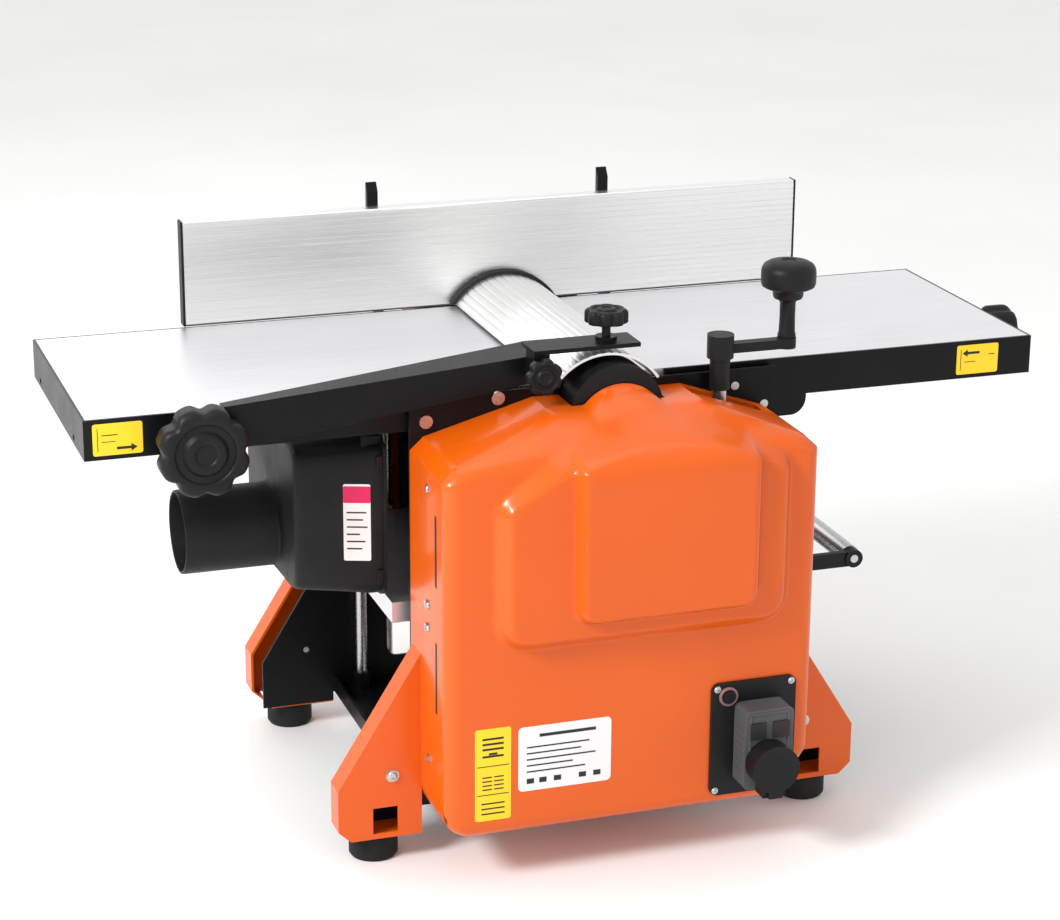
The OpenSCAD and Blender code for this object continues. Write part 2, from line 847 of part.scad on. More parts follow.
module lift_chain() {
    color([0.3, 0.3, 0.3])
        translate([0, 0, lift_chain_z[0]]) linear_extrude(lift_chain_z[1] - lift_chain_z[0]) difference() {
            loop_outline([screw_x, -screw_y], sprocket_r + chain_t, [-screw_x, screw_y], sprocket_r + chain_t);
            loop_outline([screw_x, -screw_y], sprocket_r + gap, [-screw_x, screw_y], sprocket_r + gap);
        }
}

module crank_arm() {
    arm_w = 11;
    color([0.1, 0.1, 0.1])
        difference() {
            union() {
                rod_z(screw_x, -screw_y, 9.5, crank_z - 30, crank_z);
                rod_z(screw_x, -screw_y, 12.5, crank_z, crank_z + 22);
                rod_z(screw_x + crank_reach, -screw_y, 9, crank_z + 4, crank_z + 14);
                translate([screw_x, -screw_y - arm_w / 2, crank_z + 4]) cube([crank_reach, arm_w, 9]);
                rod_z(screw_x + crank_reach, -screw_y, 4, crank_z + 4, crank_z + 68);
            }
            rod_z(screw_x, -screw_y, screw_r, crank_z - 40, crank_z + 14);
        }
}

module crank_knob() {
    z0 = crank_z + 14 + gap;
    bore_r = 4 + fit;
    color([0.14, 0.14, 0.15])
        translate([screw_x + crank_reach, -screw_y, 0]) rotate_extrude() polygon([
            [bore_r, z0], [7.5, z0], [7, z0 + 34], [13, z0 + 36], [14, z0 + 44], [22, z0 + 46],
            [crank_knob_r, z0 + 50], [crank_knob_r, z0 + 64], [20, z0 + 71], [8, z0 + 73], [0, z0 + 73],
            [0, z0 + 56], [bore_r, z0 + 56]
        ]);
}

// ---- fence ----
module fence_face() {
    color("silver")
        along_x(fence_x0, fence_x0 + fence_len) union() {
            translate([fence_y, table_z + 0.5]) square([sheet, fence_h - 0.5]);
            for (z = [table_z + 0.5, table_z + 36, table_z + 68, table_z + fence_h - sheet])
                translate([fence_y, z]) square([14, sheet]);
        }
}

module fence_arms() {
    arm_h = 127;
    back_y = fence_y + 14;
    color([0.1, 0.1, 0.1])
        for (x = fence_arm_x)
            difference() {
                along_x(x - 5.5, x + 5.5) union() {
                    polygon([
                        [back_y, table_z + 2], [fence_pivot_y, fence_pivot_z - 9],
                        [fence_pivot_y, fence_pivot_z + 9], [back_y + 6, table_z + 34],
                        [back_y + 6, table_z + arm_h], [back_y, table_z + arm_h - 9]
                    ]);
                    translate([fence_pivot_y, fence_pivot_z]) circle(9);
                }
                rod_x(fence_pivot_y, fence_pivot_z, 4 + fit, x - 20, x + 20);
                box([x - 20, 100, 0], [x + 20, back_y, 600]);
            }
}

module fence_brackets() {
    color([0.1, 0.1, 0.1])
        for (x = fence_arm_x) {
            along_x(x + 5.5 + gap, x + 5.5 + gap + sheet) polygon([
                [web_out, table_z - 36], [fence_pivot_y + 12, table_z - 6],
                [fence_pivot_y + 12, table_z + 20], [fence_pivot_y - 16.5, table_z + 20],
                [fence_pivot_y - 16.5, table_z - 2], [web_out, table_z - 2]
            ]);
            box([x - 14, web_out, table_z - 36], [x + 24, web_out + sheet, table_z - 5]);
            rod_x(fence_pivot_y, fence_pivot_z, 4, x - 6, x + 26);
        }
}

module fence_knob(i) {
    x0 = fence_arm_x[i] + 5.5 + gap + sheet + gap;
    color([0.14, 0.14, 0.15])
        difference() {
            translate([x0, fence_pivot_y, fence_pivot_z]) rotate([0, 90, 0]) union() {
                cylinder(r = 9, h = 6);
                translate([0, 0, 6]) lobed_knob(17, 12, 6, 5);
            }
            rod_x(fence_pivot_y, fence_pivot_z, 4 + fit, x0 - 1, fence_arm_x[i] + 26.2);
        }
}

module fence_knob_left() {
    fence_knob(0);
}

module fence_knob_right() {
    fence_knob(1);
}

// ---- guard ----
// Slope of the guard arm's top flange, drawn in X and Z
arm_lip = [
    [pivot_x - 3, table_z + 6.5 - skin], [arm_end_x, table_z + 29 - skin],
    [arm_end_x, table_z + 29], [pivot_x - 3, table_z + 6.5]
];

module guard_arm() {
    color([0.1, 0.1, 0.11])
        difference() {
            union() {
                along_y(-153, -150) polygon([
                    [pivot_x + 3, pivot_z - 16], [arm_end_x, table_z + 4], [arm_end_x, table_z + 29],
                    [pivot_x - 3, table_z + 6.5], [pivot_x - 14, pivot_z + 12], [pivot_x - 14, pivot_z - 10]
                ]);
                intersection() {
                    along_y(-150, -106) polygon(arm_lip);
                    linear_extrude(table_z + 40)
                        polygon([[pivot_x - 3, -150], [arm_end_x, -150], [arm_end_x, -106], [pivot_x - 3, -140]]);
                }
                // bridge over the guard, with the boss of the clamp bolt
                box([arm_end_x - 14, -175, table_z + 8], [arm_end_x + 1, -153, bracket_z + 4]);
                box([arm_end_x - 14, -175, bracket_z], [32, -139, bracket_z + 4]);
                rod_z(guard_knob.x, guard_knob.y, 10, bracket_z + 4, bracket_z + 8);
            }
            rod_y(pivot_x, pivot_z, 5 + fit, -200, 0);
            rod_z(guard_knob.x, guard_knob.y, 4 + fit, 0, 600);
            rod_y(side_knob.x, side_knob.y, 4 + fit, -200, -100);
        }
}

module arch(r_out, r_in, y0, y1) {
    centre_z = guard_z + guard_rise - guard_r;
    along_y(y0, y1) intersection() {
        difference() {
            translate([guard_x, centre_z]) circle(r_out, $fn = 96);
            translate([guard_x, centre_z]) circle(r_in, $fn = 96);
        }
        translate([-100, guard_z]) square([200, 100]);
    }
}

module guard_cover() {
    color("gainsboro") arch(guard_r, guard_r - skin, guard_near_y, 133);
}

module guard_trim() {
    color([0.1, 0.1, 0.1]) arch(guard_r + 3.5, guard_r, 126, 134.5);
}

module guard_top_knob() {
    color([0.14, 0.14, 0.15]) {
        translate([guard_knob.x, guard_knob.y, bracket_z + 20]) lobed_knob(20, 13, 8, 5);
        rod_z(guard_knob.x, guard_knob.y, 4, guard_z + guard_rise + 0.5, bracket_z + 20);
        rod_z(guard_knob.x, guard_knob.y, 8, bracket_z + 14, bracket_z + 20);
    }
}

module guard_side_knob() {
    color([0.14, 0.14, 0.15]) {
        translate([side_knob.x, -178, side_knob.y]) rotate([90, 0, 0]) lobed_knob(17, 11, 7, 4.5);
        rod_y(side_knob.x, side_knob.y, 4, -178, -153.5);
    }
}

// ---- dust hood ----
module hood_outline(d) {
    hull() {
        along_y(-hood_half_y + d, hood_half_y - d)
            translate([hood_mouth_x - hood_inset, hood_z[0] + d])
                square([hood_inset + (d > 0 ? 2 : 0), hood_z[1] - hood_z[0] - 2 * d]);
        along_y(-hood_end_y + d, hood_end_y - d)
            translate([hood_left_x + d, hood_z[0] + 4 + d]) square([6, hood_z[1] - hood_z[0] - 10 - 2 * d]);
    }
}

module dust_hood() {
    color([0.16, 0.16, 0.17])
        difference() {
            union() {
                hood_outline(0);
                box([hood_mouth_x - 3, -hood_lip_y, hood_lip_z[0]], [hood_mouth_x, hood_lip_y, hood_lip_z[1]]);
                rod_x(0, port_z, port_r, port_end_x, hood_left_x + 1);
                for (y = [-78, -52])
                    box([hood_mouth_x - 14, y, hood_lip_z[1] - hood_clip_h], [hood_mouth_x, y + 6, hood_lip_z[1]]);
            }
            hood_outline(skin);
            rod_x(0, port_z, port_bore_r, port_end_x - 1, hood_left_x + 20);
        }
}

// ---- electrics ----
module switch_plate() {
    color([0.07, 0.07, 0.08])
        difference() {
            union() {
                along_y(-switch_front, -cover_front) rounded(switch_box[0], switch_box[1], 8);
                along_y(-cover_front, -cover_front + 14)
                    rounded(switch_box[0] + [6, 6], switch_box[1] - [6, 6], 4);
                rod_y(reset_place.x, reset_place.y, 9, -switch_front - 2, -switch_front);
            }
            rod_y(reset_place.x, reset_place.y, 6 + fit, -switch_front - 5, -cover_front + 8);
        }
}

module switch_body() {
    color([0.25, 0.25, 0.26])
        difference() {
            along_y(-body_front, -switch_front) rounded([99, 76], [147, body_top], 5);
            for (x = button_x)
                box([x - 8.2, -body_front - 1, button_z - 8.2], [x + 8.2, -body_front + 12, button_z + 8.2]);
        }
}

module push_button(x, tone) {
    color(tone) box([x - 8, -body_front - 2, button_z - 8], [x + 8, -body_front + 8, button_z + 8]);
}

module start_button() {
    push_button(button_x[0], "seagreen");
}

module stop_button() {
    push_button(button_x[1], "firebrick");
}

module reset_button() {
    color("dimgray") rod_y(reset_place.x, reset_place.y, 6, -switch_front - 4, -cover_front + 4);
}

module mains_inlet() {
    color([0.1, 0.1, 0.1]) {
        difference() {
            rod_y(inlet_x, inlet_z, inlet_r, -inlet_front, -body_front);
            rod_y(inlet_x, inlet_z, inlet_r - 3, -inlet_front - 1, -body_front - 2);
        }
        for (p = [[-6, -3], [6, -3], [0, 6]])
            rod_y(inlet_x + p.x, inlet_z + p.y, 2, -inlet_front + 3, -body_front - 2);
        for (s = [-1, 1])
            box([inlet_x + s * 9 - 2, -inlet_front, cap_hinge_z - 3],
                [inlet_x + s * 9 + 2, -body_front, inlet_z - 17]);
        rod_x(-inlet_front + 3, cap_hinge_z, 1.5, inlet_x - 11, inlet_x + 11);
    }
}

module inlet_cap() {
    y1 = -inlet_front - gap;
    color([0.12, 0.12, 0.13])
        difference() {
            union() {
                rod_y(inlet_x, inlet_z, inlet_r + 1, y1 - cap_t, y1);
                box([inlet_x - 6.5, y1 - cap_t, cap_hinge_z - 3], [inlet_x + 6.5, y1, inlet_z - 15]);
                box([inlet_x - 6.5, y1 - cap_t, cap_hinge_z - 3],
                    [inlet_x + 6.5, -inlet_front + 3, cap_hinge_z + 2.5]);
                rod_x(-inlet_front + 3, cap_hinge_z, 3, inlet_x - 6.5, inlet_x + 6.5);
            }
            rod_x(-inlet_front + 3, cap_hinge_z, 1.5 + fit, inlet_x - 20, inlet_x + 20);
        }
}

placed() base_plate();
placed() side_frame_front();
placed() side_frame_rear();
placed() guide_columns();
placed() leg_plates();
placed() rubber_feet();
placed() drive_tray();
placed() drive_cover();
placed() cutter_cap();
placed() gear_cover();
placed() frame_screws();
placed() infeed_top();
placed() infeed_frame();
placed() infeed_bolts();
placed() depth_knob();
placed() outfeed_top();
placed() outfeed_frame();
placed() outfeed_knob();
placed() cutterblock();
placed() planer_knives();
placed() knife_clamps();
placed() cutter_pulley();
placed() bearing_units();
placed() motor_housing();
placed() motor_rotor();
placed() drive_belt();
placed() reduction_gear_1();
placed() reduction_gear_2();
placed() reduction_gear_3();
placed() feed_chain();
placed() toothed_roller();
placed() rubber_roller();
placed() kickback_pawls();
placed() thicknesser_table();
placed() lift_nuts();
placed() extension_arms();
placed() extension_roller();
placed() front_screw();
placed() crank_arm();
placed() crank_knob();
placed() rear_screw();
placed() lift_chain();
placed() fence_face();
placed() fence_arms();
placed() fence_brackets();
placed() fence_knob_left();
placed() fence_knob_right();
placed() guard_arm();
placed() guard_cover();
placed() guard_trim();
placed() guard_top_knob();
placed() guard_side_knob();
placed() dust_hood();
placed() switch_plate();
placed() switch_body();
placed() start_button();
placed() stop_button();
placed() reset_button();
placed() mains_inlet();
placed() inlet_cap();
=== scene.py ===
import json
import math

import bmesh
import bpy
from mathutils import Matrix, Vector


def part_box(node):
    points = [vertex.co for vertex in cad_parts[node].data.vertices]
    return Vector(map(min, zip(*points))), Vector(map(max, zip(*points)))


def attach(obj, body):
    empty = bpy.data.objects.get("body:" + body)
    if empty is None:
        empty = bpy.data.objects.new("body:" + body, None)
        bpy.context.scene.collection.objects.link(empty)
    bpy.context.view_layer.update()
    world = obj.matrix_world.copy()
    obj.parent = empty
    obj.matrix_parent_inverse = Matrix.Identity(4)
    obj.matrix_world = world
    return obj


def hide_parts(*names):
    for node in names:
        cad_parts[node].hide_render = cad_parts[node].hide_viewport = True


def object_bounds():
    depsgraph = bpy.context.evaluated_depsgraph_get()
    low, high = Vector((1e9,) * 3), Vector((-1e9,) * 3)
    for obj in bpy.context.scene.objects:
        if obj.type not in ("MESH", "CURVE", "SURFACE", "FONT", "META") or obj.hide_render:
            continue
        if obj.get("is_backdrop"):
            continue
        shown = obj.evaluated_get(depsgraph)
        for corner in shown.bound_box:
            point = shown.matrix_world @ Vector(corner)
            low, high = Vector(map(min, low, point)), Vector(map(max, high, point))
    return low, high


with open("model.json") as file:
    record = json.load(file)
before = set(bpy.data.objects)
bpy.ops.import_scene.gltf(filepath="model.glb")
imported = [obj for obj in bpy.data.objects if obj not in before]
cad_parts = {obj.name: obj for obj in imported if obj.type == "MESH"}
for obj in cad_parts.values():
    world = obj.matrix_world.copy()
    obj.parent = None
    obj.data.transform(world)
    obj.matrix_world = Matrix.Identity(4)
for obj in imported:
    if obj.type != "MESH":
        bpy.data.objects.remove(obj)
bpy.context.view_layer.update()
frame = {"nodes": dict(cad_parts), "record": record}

# ---- the machine's own axes: millimetres from the cutter axis, the table centre line and the floor ----
MM = 0.001
CUTTER_LOW, CUTTER_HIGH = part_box("planer_knives")
TABLE_LOW, TABLE_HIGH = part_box("infeed_top")
ORIGIN = Vector(((CUTTER_LOW.x + CUTTER_HIGH.x) / 2, (TABLE_LOW.y + TABLE_HIGH.y) / 2, 0))
TABLE_Z = TABLE_HIGH.z / MM
COVER_LOW, COVER_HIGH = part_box("drive_cover")
COVER_FRONT = -256  # y of the cover's flat face
COVER_BACK = -185  # y where the cover's sheet meets the tray
HALF_W = (COVER_HIGH.x - COVER_LOW.x) / 2 / MM  # half of the cover's width


def at(x, y, z):
    """A point given in machine millimetres, in the row frame."""
    return ORIGIN + Vector((x, y, z)) * MM


def span(node):
    """A CAD node's box in machine millimetres."""
    low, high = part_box(node)
    return (low - ORIGIN) / MM, (high - ORIGIN) / MM


def middle(node):
    """The centre of a CAD node's box in machine millimetres."""
    return tuple((a + b) / 2 for a, b in zip(*span(node)))


# ---- materials ----
WEAR_RADIUS = 1.1  # millimetres over which an edge counts as worn
EDGE_SAMPLES = 8
FLAT_COSINE, TURNED_COSINE = 0.95, 0.78
PAINT_RELIEF, FINE_RELIEF = 0.0006, 0.0003  # metres of bump
STREAK_BUMP = 0.12
COAT_ROUGHNESS = 0.08
PLASTIC_GLOSS = 0.2
FILM_GRAIN, FILM_BUMP = 400.0, 0.05


class Graph:
    """A small helper that adds shader nodes and links them."""

    def __init__(self, name):
        self.material = bpy.data.materials.new(name)
        self.material.use_nodes = True
        self.tree = self.material.node_tree
        self.shader = self.tree.nodes["Principled BSDF"]
        self.place = self.add("ShaderNodeTexCoord").outputs["Object"]

    def add(self, kind, **values):
        node = self.tree.nodes.new(kind)
        for key, value in values.items():
            setattr(node, key, value)
        return node

    def link(self, source, target):
        self.tree.links.new(source, target)

    def noise(self, scale, detail=4.0, stretch=None):
        node = self.add("ShaderNodeTexNoise")
        node.inputs["Scale"].default_value = scale
        node.inputs["Detail"].default_value = detail
        if stretch:
            mapping = self.add("ShaderNodeMapping")
            mapping.inputs["Scale"].default_value = stretch
            self.link(self.place, mapping.inputs["Vector"])
            self.link(mapping.outputs["Vector"], node.inputs["Vector"])
        else:
            self.link(self.place, node.inputs["Vector"])
        return node.outputs["Fac"]

    def ramp(self, value, low, high, first, second):
        node = self.add("ShaderNodeValToRGB")
        node.color_ramp.elements[0].position = low
        node.color_ramp.elements[1].position = high
        node.color_ramp.elements[0].color = (*first, 1)
        node.color_ramp.elements[1].color = (*second, 1)
        self.link(value, node.inputs["Fac"])
        return node.outputs["Color"]

    def span(self, value, low, high):
        node = self.add("ShaderNodeMapRange")
        node.inputs["To Min"].default_value = low
        node.inputs["To Max"].default_value = high
        self.link(value, node.inputs["Value"])
        return node.outputs["Result"]

    def mix(self, factor, first, second):
        node = self.add("ShaderNodeMix", data_type="RGBA")
        self.link(factor, node.inputs["Factor"])
        for socket, value in ((node.inputs["A"], first), (node.inputs["B"], second)):
            if isinstance(value, tuple):
                socket.default_value = (*value, 1)
            else:
                self.link(value, socket)
        return node.outputs["Result"]

    def edges(self):
        """1 where the surface turns a corner within WEAR_RADIUS, 0 on open faces."""
        rounded = self.add("ShaderNodeBevel", samples=EDGE_SAMPLES)
        rounded.inputs["Radius"].default_value = WEAR_RADIUS * MM
        geometry = self.add("ShaderNodeNewGeometry")
        dot = self.add("ShaderNodeVectorMath", operation="DOT_PRODUCT")
        self.link(rounded.outputs["Normal"], dot.inputs[0])
        self.link(geometry.outputs["Normal"], dot.inputs[1])
        node = self.add("ShaderNodeMapRange")
        node.inputs["From Min"].default_value = FLAT_COSINE
        node.inputs["From Max"].default_value = TURNED_COSINE
        self.link(dot.outputs["Value"], node.inputs["Value"])
        return node.outputs["Result"]

    def bump(self, value, strength, distance):
        node = self.add("ShaderNodeBump")
        node.inputs["Strength"].default_value = strength
        node.inputs["Distance"].default_value = distance
        self.link(value, node.inputs["Height"])
        self.link(node.outputs["Normal"], self.shader.inputs["Normal"])


def painted(name, colour, deep, rough, bump_scale, bump_strength,
            coat=0.0, wear=(0.3, 0.28, 0.27), gloss=0.35):
    """Paint or powder coat with mottled tone, uneven gloss, fine texture and worn edges."""
    g = Graph(name)
    tone = g.ramp(g.noise(9.0), 0.3, 0.7, deep, colour)
    worn = g.add("ShaderNodeMath", operation="MULTIPLY")
    g.link(g.edges(), worn.inputs[0])
    g.link(g.span(g.noise(160.0), -0.7, 1.1), worn.inputs[1])
    worn.use_clamp = True
    g.link(g.mix(worn.outputs[0], tone, wear), g.shader.inputs["Base Color"])
    g.link(g.span(g.noise(30.0, 6.0), *rough), g.shader.inputs["Roughness"])
    g.bump(g.noise(bump_scale, 3.0), bump_strength, PAINT_RELIEF)
    g.shader.inputs["Specular IOR Level"].default_value = gloss
    g.shader.inputs["Coat Weight"].default_value = coat
    g.shader.inputs["Coat Roughness"].default_value = COAT_ROUGHNESS
    return g.material


def printed(name, colour, deep, rough, wear):
    """A printed label film: paint with a finer, flatter texture."""
    return painted(name, colour, deep, rough, FILM_GRAIN, FILM_BUMP, wear=wear)


def metal(name, colour, dark, rough, stretch, streak=420.0):
    """Bare or anodised metal with fine directional streaks."""
    g = Graph(name)
    streaks = g.noise(streak, 5.0, stretch)
    tone = g.ramp(streaks, 0.25, 0.8, dark, colour)
    stain = g.noise(7.0, 5.0)
    shade = tuple(c * 0.9 for c in colour)
    g.link(g.mix(g.span(stain, -0.5, 0.9), tone, shade), g.shader.inputs["Base Color"])
    g.link(g.span(streaks, *rough), g.shader.inputs["Roughness"])
    g.shader.inputs["Metallic"].default_value = 1.0
    g.bump(streaks, STREAK_BUMP, FINE_RELIEF)
    return g.material


def moulded(name, colour, light, rough, grain=900.0, strength=0.25):
    """Moulded plastic or rubber with a fine grain, pale dust and scuffs."""
    g = Graph(name)
    tone = g.ramp(g.noise(14.0, 6.0), 0.35, 0.75, colour, light)
    scuff = tuple(c * 2.2 + 0.02 for c in light)
    g.link(g.mix(g.span(g.edges(), 0.0, 0.3), tone, scuff), g.shader.inputs["Base Color"])
    g.link(g.span(g.noise(60.0, 6.0), *rough), g.shader.inputs["Roughness"])
    g.shader.inputs["Specular IOR Level"].default_value = PLASTIC_GLOSS
    g.bump(g.noise(grain, 2.0), strength, FINE_RELIEF)
    return g.material


ORANGE = painted("orange enamel", (0.68, 0.099, 0.001), (0.65, 0.092, 0.001), (0.27, 0.31), 650.0, 0.05,
                 coat=0.18, wear=(0.95, 0.30, 0.07))
BLACK = painted("black powder coat", (0.006, 0.006, 0.007), (0.003, 0.003, 0.004), (0.26, 0.40), 700.0, 0.22,
                wear=(0.07, 0.07, 0.07), gloss=0.16)
ALLOY = metal("anodised table", (0.90, 0.89, 0.91), (0.79, 0.78, 0.81), (0.34, 0.50), (0.6, 30.0, 1.0), 26.0)
FENCE_ALLOY = metal("extruded aluminium", (0.96, 0.96, 0.95), (0.84, 0.84, 0.84), (0.27, 0.42),
                    (0.4, 20.0, 40.0), 22.0)
STEEL = metal("bright steel", (0.62, 0.62, 0.63), (0.44, 0.44, 0.45), (0.20, 0.36), (1.0, 1.0, 1.0))
CAST = painted("motor grey", (0.10, 0.10, 0.11), (0.07, 0.07, 0.08), (0.4, 0.6), 300.0, 0.4)
BRASS = metal("brass", (0.71, 0.50, 0.20), (0.55, 0.38, 0.14), (0.24, 0.40), (1.0, 1.0, 1.0))
PLASTIC = moulded("black plastic", (0.006, 0.006, 0.007), (0.012, 0.012, 0.013), (0.36, 0.52))
GREY_PLASTIC = moulded("grey plastic", (0.075, 0.075, 0.080), (0.105, 0.105, 0.110), (0.35, 0.50))
HOOD_PLASTIC = moulded("hood plastic", (0.006, 0.006, 0.007), (0.013, 0.013, 0.014), (0.40, 0.56))
RUBBER = moulded("rubber", (0.010, 0.010, 0.010), (0.020, 0.020, 0.020), (0.60, 0.80), 500.0, 0.4)
START = moulded("start button", (0.018, 0.022, 0.020), (0.030, 0.036, 0.033), (0.25, 0.40))
STOP = moulded("stop button", (0.024, 0.018, 0.018), (0.040, 0.030, 0.030), (0.25, 0.40))
ROSE = moulded("faded reset ring", (0.22, 0.11, 0.11), (0.28, 0.15, 0.15), (0.35, 0.50))
YELLOW = printed("yellow label", (0.90, 0.60, 0.02), (0.84, 0.54, 0.01), (0.35, 0.5), (0.8, 0.6, 0.2))
WHITE = printed("white label", (0.80, 0.80, 0.80), (0.72, 0.72, 0.73), (0.3, 0.45), (0.7, 0.7, 0.7))
# Black print on the labels; the same black is also painted shade in the cover's vent slots.
INK_AND_SHADE = printed("printing ink and slot shade", (0.012, 0.012, 0.012), (0.02, 0.02, 0.02), (0.4, 0.5), (0.05, 0.05, 0.05))
MAGENTA = printed("magenta band", (0.65, 0.01, 0.10), (0.55, 0.01, 0.08), (0.35, 0.5), (0.6, 0.2, 0.25))

SLOT_MATERIALS = {
    "orange_paint": ORANGE,
    "black_paint": BLACK,
    "table_alloy": ALLOY,
    "bright_steel": STEEL,
    "cast_grey": CAST,
    "brass_nut": BRASS,
    "black_plastic": PLASTIC,
    "grey_plastic": GREY_PLASTIC,
    "green_plastic": START,
    "red_plastic": STOP,
    "reset_plastic": PLASTIC,
    "black_rubber": RUBBER,
}
NODE_SLOT = {entry["node"]: entry["material_slot"] for entry in frame["record"]["subparts"]}


def body_name(node):
    """The CAD body that a node belongs to."""
    return next(b for b, members in frame["record"]["behaviour"]["bodies"].items() if node in members)


# ---- mesh helpers ----
BEVEL_SEGMENTS = 2
BEVEL_ANGLE = 32.0  # degrees, below which an edge is left alone
RIM_SHARE = 0.72  # a lobed knob is scalloped outside this share of its radius
LOBE_SHARPNESS = 2.2


def link_mesh(name, bm, material, smooth=35.0):
    """Turns a bmesh in row-frame metres into an object with sharp edges over an angle."""
    mesh = bpy.data.meshes.new(name)
    bmesh.ops.recalc_face_normals(bm, faces=bm.faces)
    bm.to_mesh(mesh)
    bm.free()
    for face in mesh.polygons:
        face.use_smooth = True
    mesh.set_sharp_from_angle(angle=math.radians(smooth))
    mesh.materials.append(material)
    piece = bpy.data.objects.new(name, mesh)
    bpy.context.scene.collection.objects.link(piece)
    return piece


def settle(piece, node, *more):
    """The piece stands for its CAD node and moves with that node's body."""
    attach(piece, body_name(node))
    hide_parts(node, *more)
    return piece


def trim(piece, body):
    """A detail with no CAD node of its own, which moves with a body."""
    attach(piece, body)
    return piece


def bevel(piece, width):
    """Rounds the sharp edges of a piece over a width in millimetres."""
    modifier = piece.modifiers.new("edge rounding", "BEVEL")
    modifier.width = width * MM
    modifier.segments = BEVEL_SEGMENTS
    modifier.limit_method = "ANGLE"
    modifier.angle_limit = math.radians(BEVEL_ANGLE)
    modifier.harden_normals = True
    return piece


def add_rings(bm, rings, caps=(True, True)):
    """Skins a list of closed rings of points, each ring with the same count."""
    made = [[bm.verts.new(p) for p in ring] for ring in rings]
    count = len(made[0])
    for lower, upper in zip(made, made[1:]):
        for i in range(count):
            j = (i + 1) % count
            bm.faces.new((lower[i], lower[j], upper[j], upper[i]))
    if caps[0]:
        bm.faces.new(list(reversed(made[0])))
    if caps[1]:
        bm.faces.new(made[-1])
    return made


def add_box(bm, low, high):
    """A box between two corners in machine millimetres."""
    base = ((low[0], low[1]), (high[0], low[1]), (high[0], high[1]), (low[0], high[1]))
    verts = [bm.verts.new(at(x, y, z)) for z in (low[2], high[2]) for x, y in base]
    for face in ((3, 2, 1, 0), (4, 5, 6, 7), (0, 1, 5, 4), (1, 2, 6, 5), (2, 3, 7, 6), (3, 0, 4, 7)):
        bm.faces.new([verts[i] for i in face])


def axes_of(direction):
    """Two unit vectors square to a direction."""
    d = Vector(direction).normalized()
    side = Vector((0, 0, 1)) if abs(d.z) < 0.9 else Vector((1, 0, 0))
    u = side.cross(d).normalized()
    return d, u, d.cross(u)


def add_lathe(bm, centre, direction, profile, lobes=0, depth=0.0, sides=64):
    """Turns (radius, height) pairs about a line; lobes scallop the rim where the radius is largest."""
    d, u, v = axes_of(direction)
    start = Vector(centre)
    largest = max(r for r, _ in profile)
    rim = largest * RIM_SHARE
    rings = []
    for r, h in profile:
        ring = []
        for i in range(sides):
            a = 2 * math.pi * i / sides
            here = r
            if lobes and r > rim:
                wave = (0.5 + 0.5 * math.cos(lobes * a)) ** LOBE_SHARPNESS
                here = r - depth * wave * (r - rim) / (largest * (1 - RIM_SHARE))
            p = start + d * h + (u * math.cos(a) + v * math.sin(a)) * max(here, 0.01)
            ring.append(at(*p))
        rings.append(ring)
    add_rings(bm, rings)


def screw(bm, centre, direction, radius=5.5, height=3.0):
    """A button head screw with a round recess, standing on a washer."""
    add_lathe(bm, centre, direction, [
        (radius * 1.25, 0), (radius * 1.25, 0.7), (radius, 0.7), (radius, height * 0.45),
        (radius * 0.86, height * 0.8), (radius * 0.6, height),
        (radius * 0.42, height), (radius * 0.38, height * 0.35),
    ], sides=24)


# ---- CAD pieces that are shown as they are ----
USUAL_EDGE = 0.5
EDGE_WIDTHS = {
    "drive_tray": 0.8, "leg_plates": 0.9, "gear_cover": 1.2, "infeed_top": 1.4, "outfeed_top": 1.4,
    "crank_arm": 1.6, "cutter_cap": 1.6,
}
UNROUNDED = {
    "feed_chain", "drive_belt", "lift_chain", "reduction_gear_1", "reduction_gear_2", "reduction_gear_3",
    "toothed_roller",
}


def dress_frame():
    """Every shown CAD node gets its material, and rounded edges unless it is UNROUNDED."""
    for name, node in frame["nodes"].items():
        node.data.materials.clear()
        node.data.materials.append(SLOT_MATERIALS[NODE_SLOT[name]])
        for face in node.data.polygons:
            face.use_smooth = True
        node.data.set_sharp_from_angle(angle=math.radians(25))
        if name not in UNROUNDED:
            bevel(node, EDGE_WIDTHS.get(name, USUAL_EDGE))


# ---- the pressed front cover ----
BULGES = (
    # centre x, centre z, half width, half height, corner radius, slope width, rise
    (8, 349, 142, 121, 30, 14, 14.5),
    (25, 361, 89, 109, 18, 8, 13.2),
)
EAVES_Z = 402
ROOF_SLOPE = 1.58
ROOF_SOFTNESS = 4.0
DOME_X, DOME_Z, DOME_CURVE = 22, 432, 0.0025
ARCH_X, ARCH_Z, ARCH_R = 10, 402, 45
# the top edge rises from its corners to its shoulders, and from there to a level crest
CORNER_X, CORNER_Z = 178, 390
SHOULDER_X, SHOULDER_Z = 165, 402
CREST_LEFT, CREST_RIGHT, CREST_Z = -62, 82, 430
FOOT_Z = 50
FOOT_ROUND_X, FOOT_ROUND_R = -152, 26
FOOT_CUT_X, FOOT_CUT_W, FOOT_CUT_H = 148, 30, 44
FOLD_R = 13.0  # radius of the sheet's folded edge
GRID_X, GRID_Z = 3.0, 2.0  # spacing of the sheet's points
COLUMN_H = 396
OUTLINE_STEPS = 90
LIP_SCALE, LIP_CENTRE_Z = 0.965, 240


def roof_setback(z):
    """How far the cover's face leans back at a height, turning softly at the eaves."""
    return ROOF_SLOPE * ROOF_SOFTNESS * math.log1p(math.exp(min(30.0, (z - EAVES_Z) / ROOF_SOFTNESS)))


def dome(x):
    """Height at which both bulges have run out into the sloping top."""
    return DOME_Z - DOME_CURVE * (x - DOME_X) ** 2


def rounded_distance(x, z, bulge):
    """How far a point lies inside a rounded rectangle."""
    cx, cz, hw, hh, r = bulge[:5]
    dx, dz = abs(x - cx) - (hw - r), abs(z - cz) - (hh - r)
    outside = math.hypot(max(dx, 0), max(dz, 0)) + min(max(dx, dz), 0)
    return r - outside


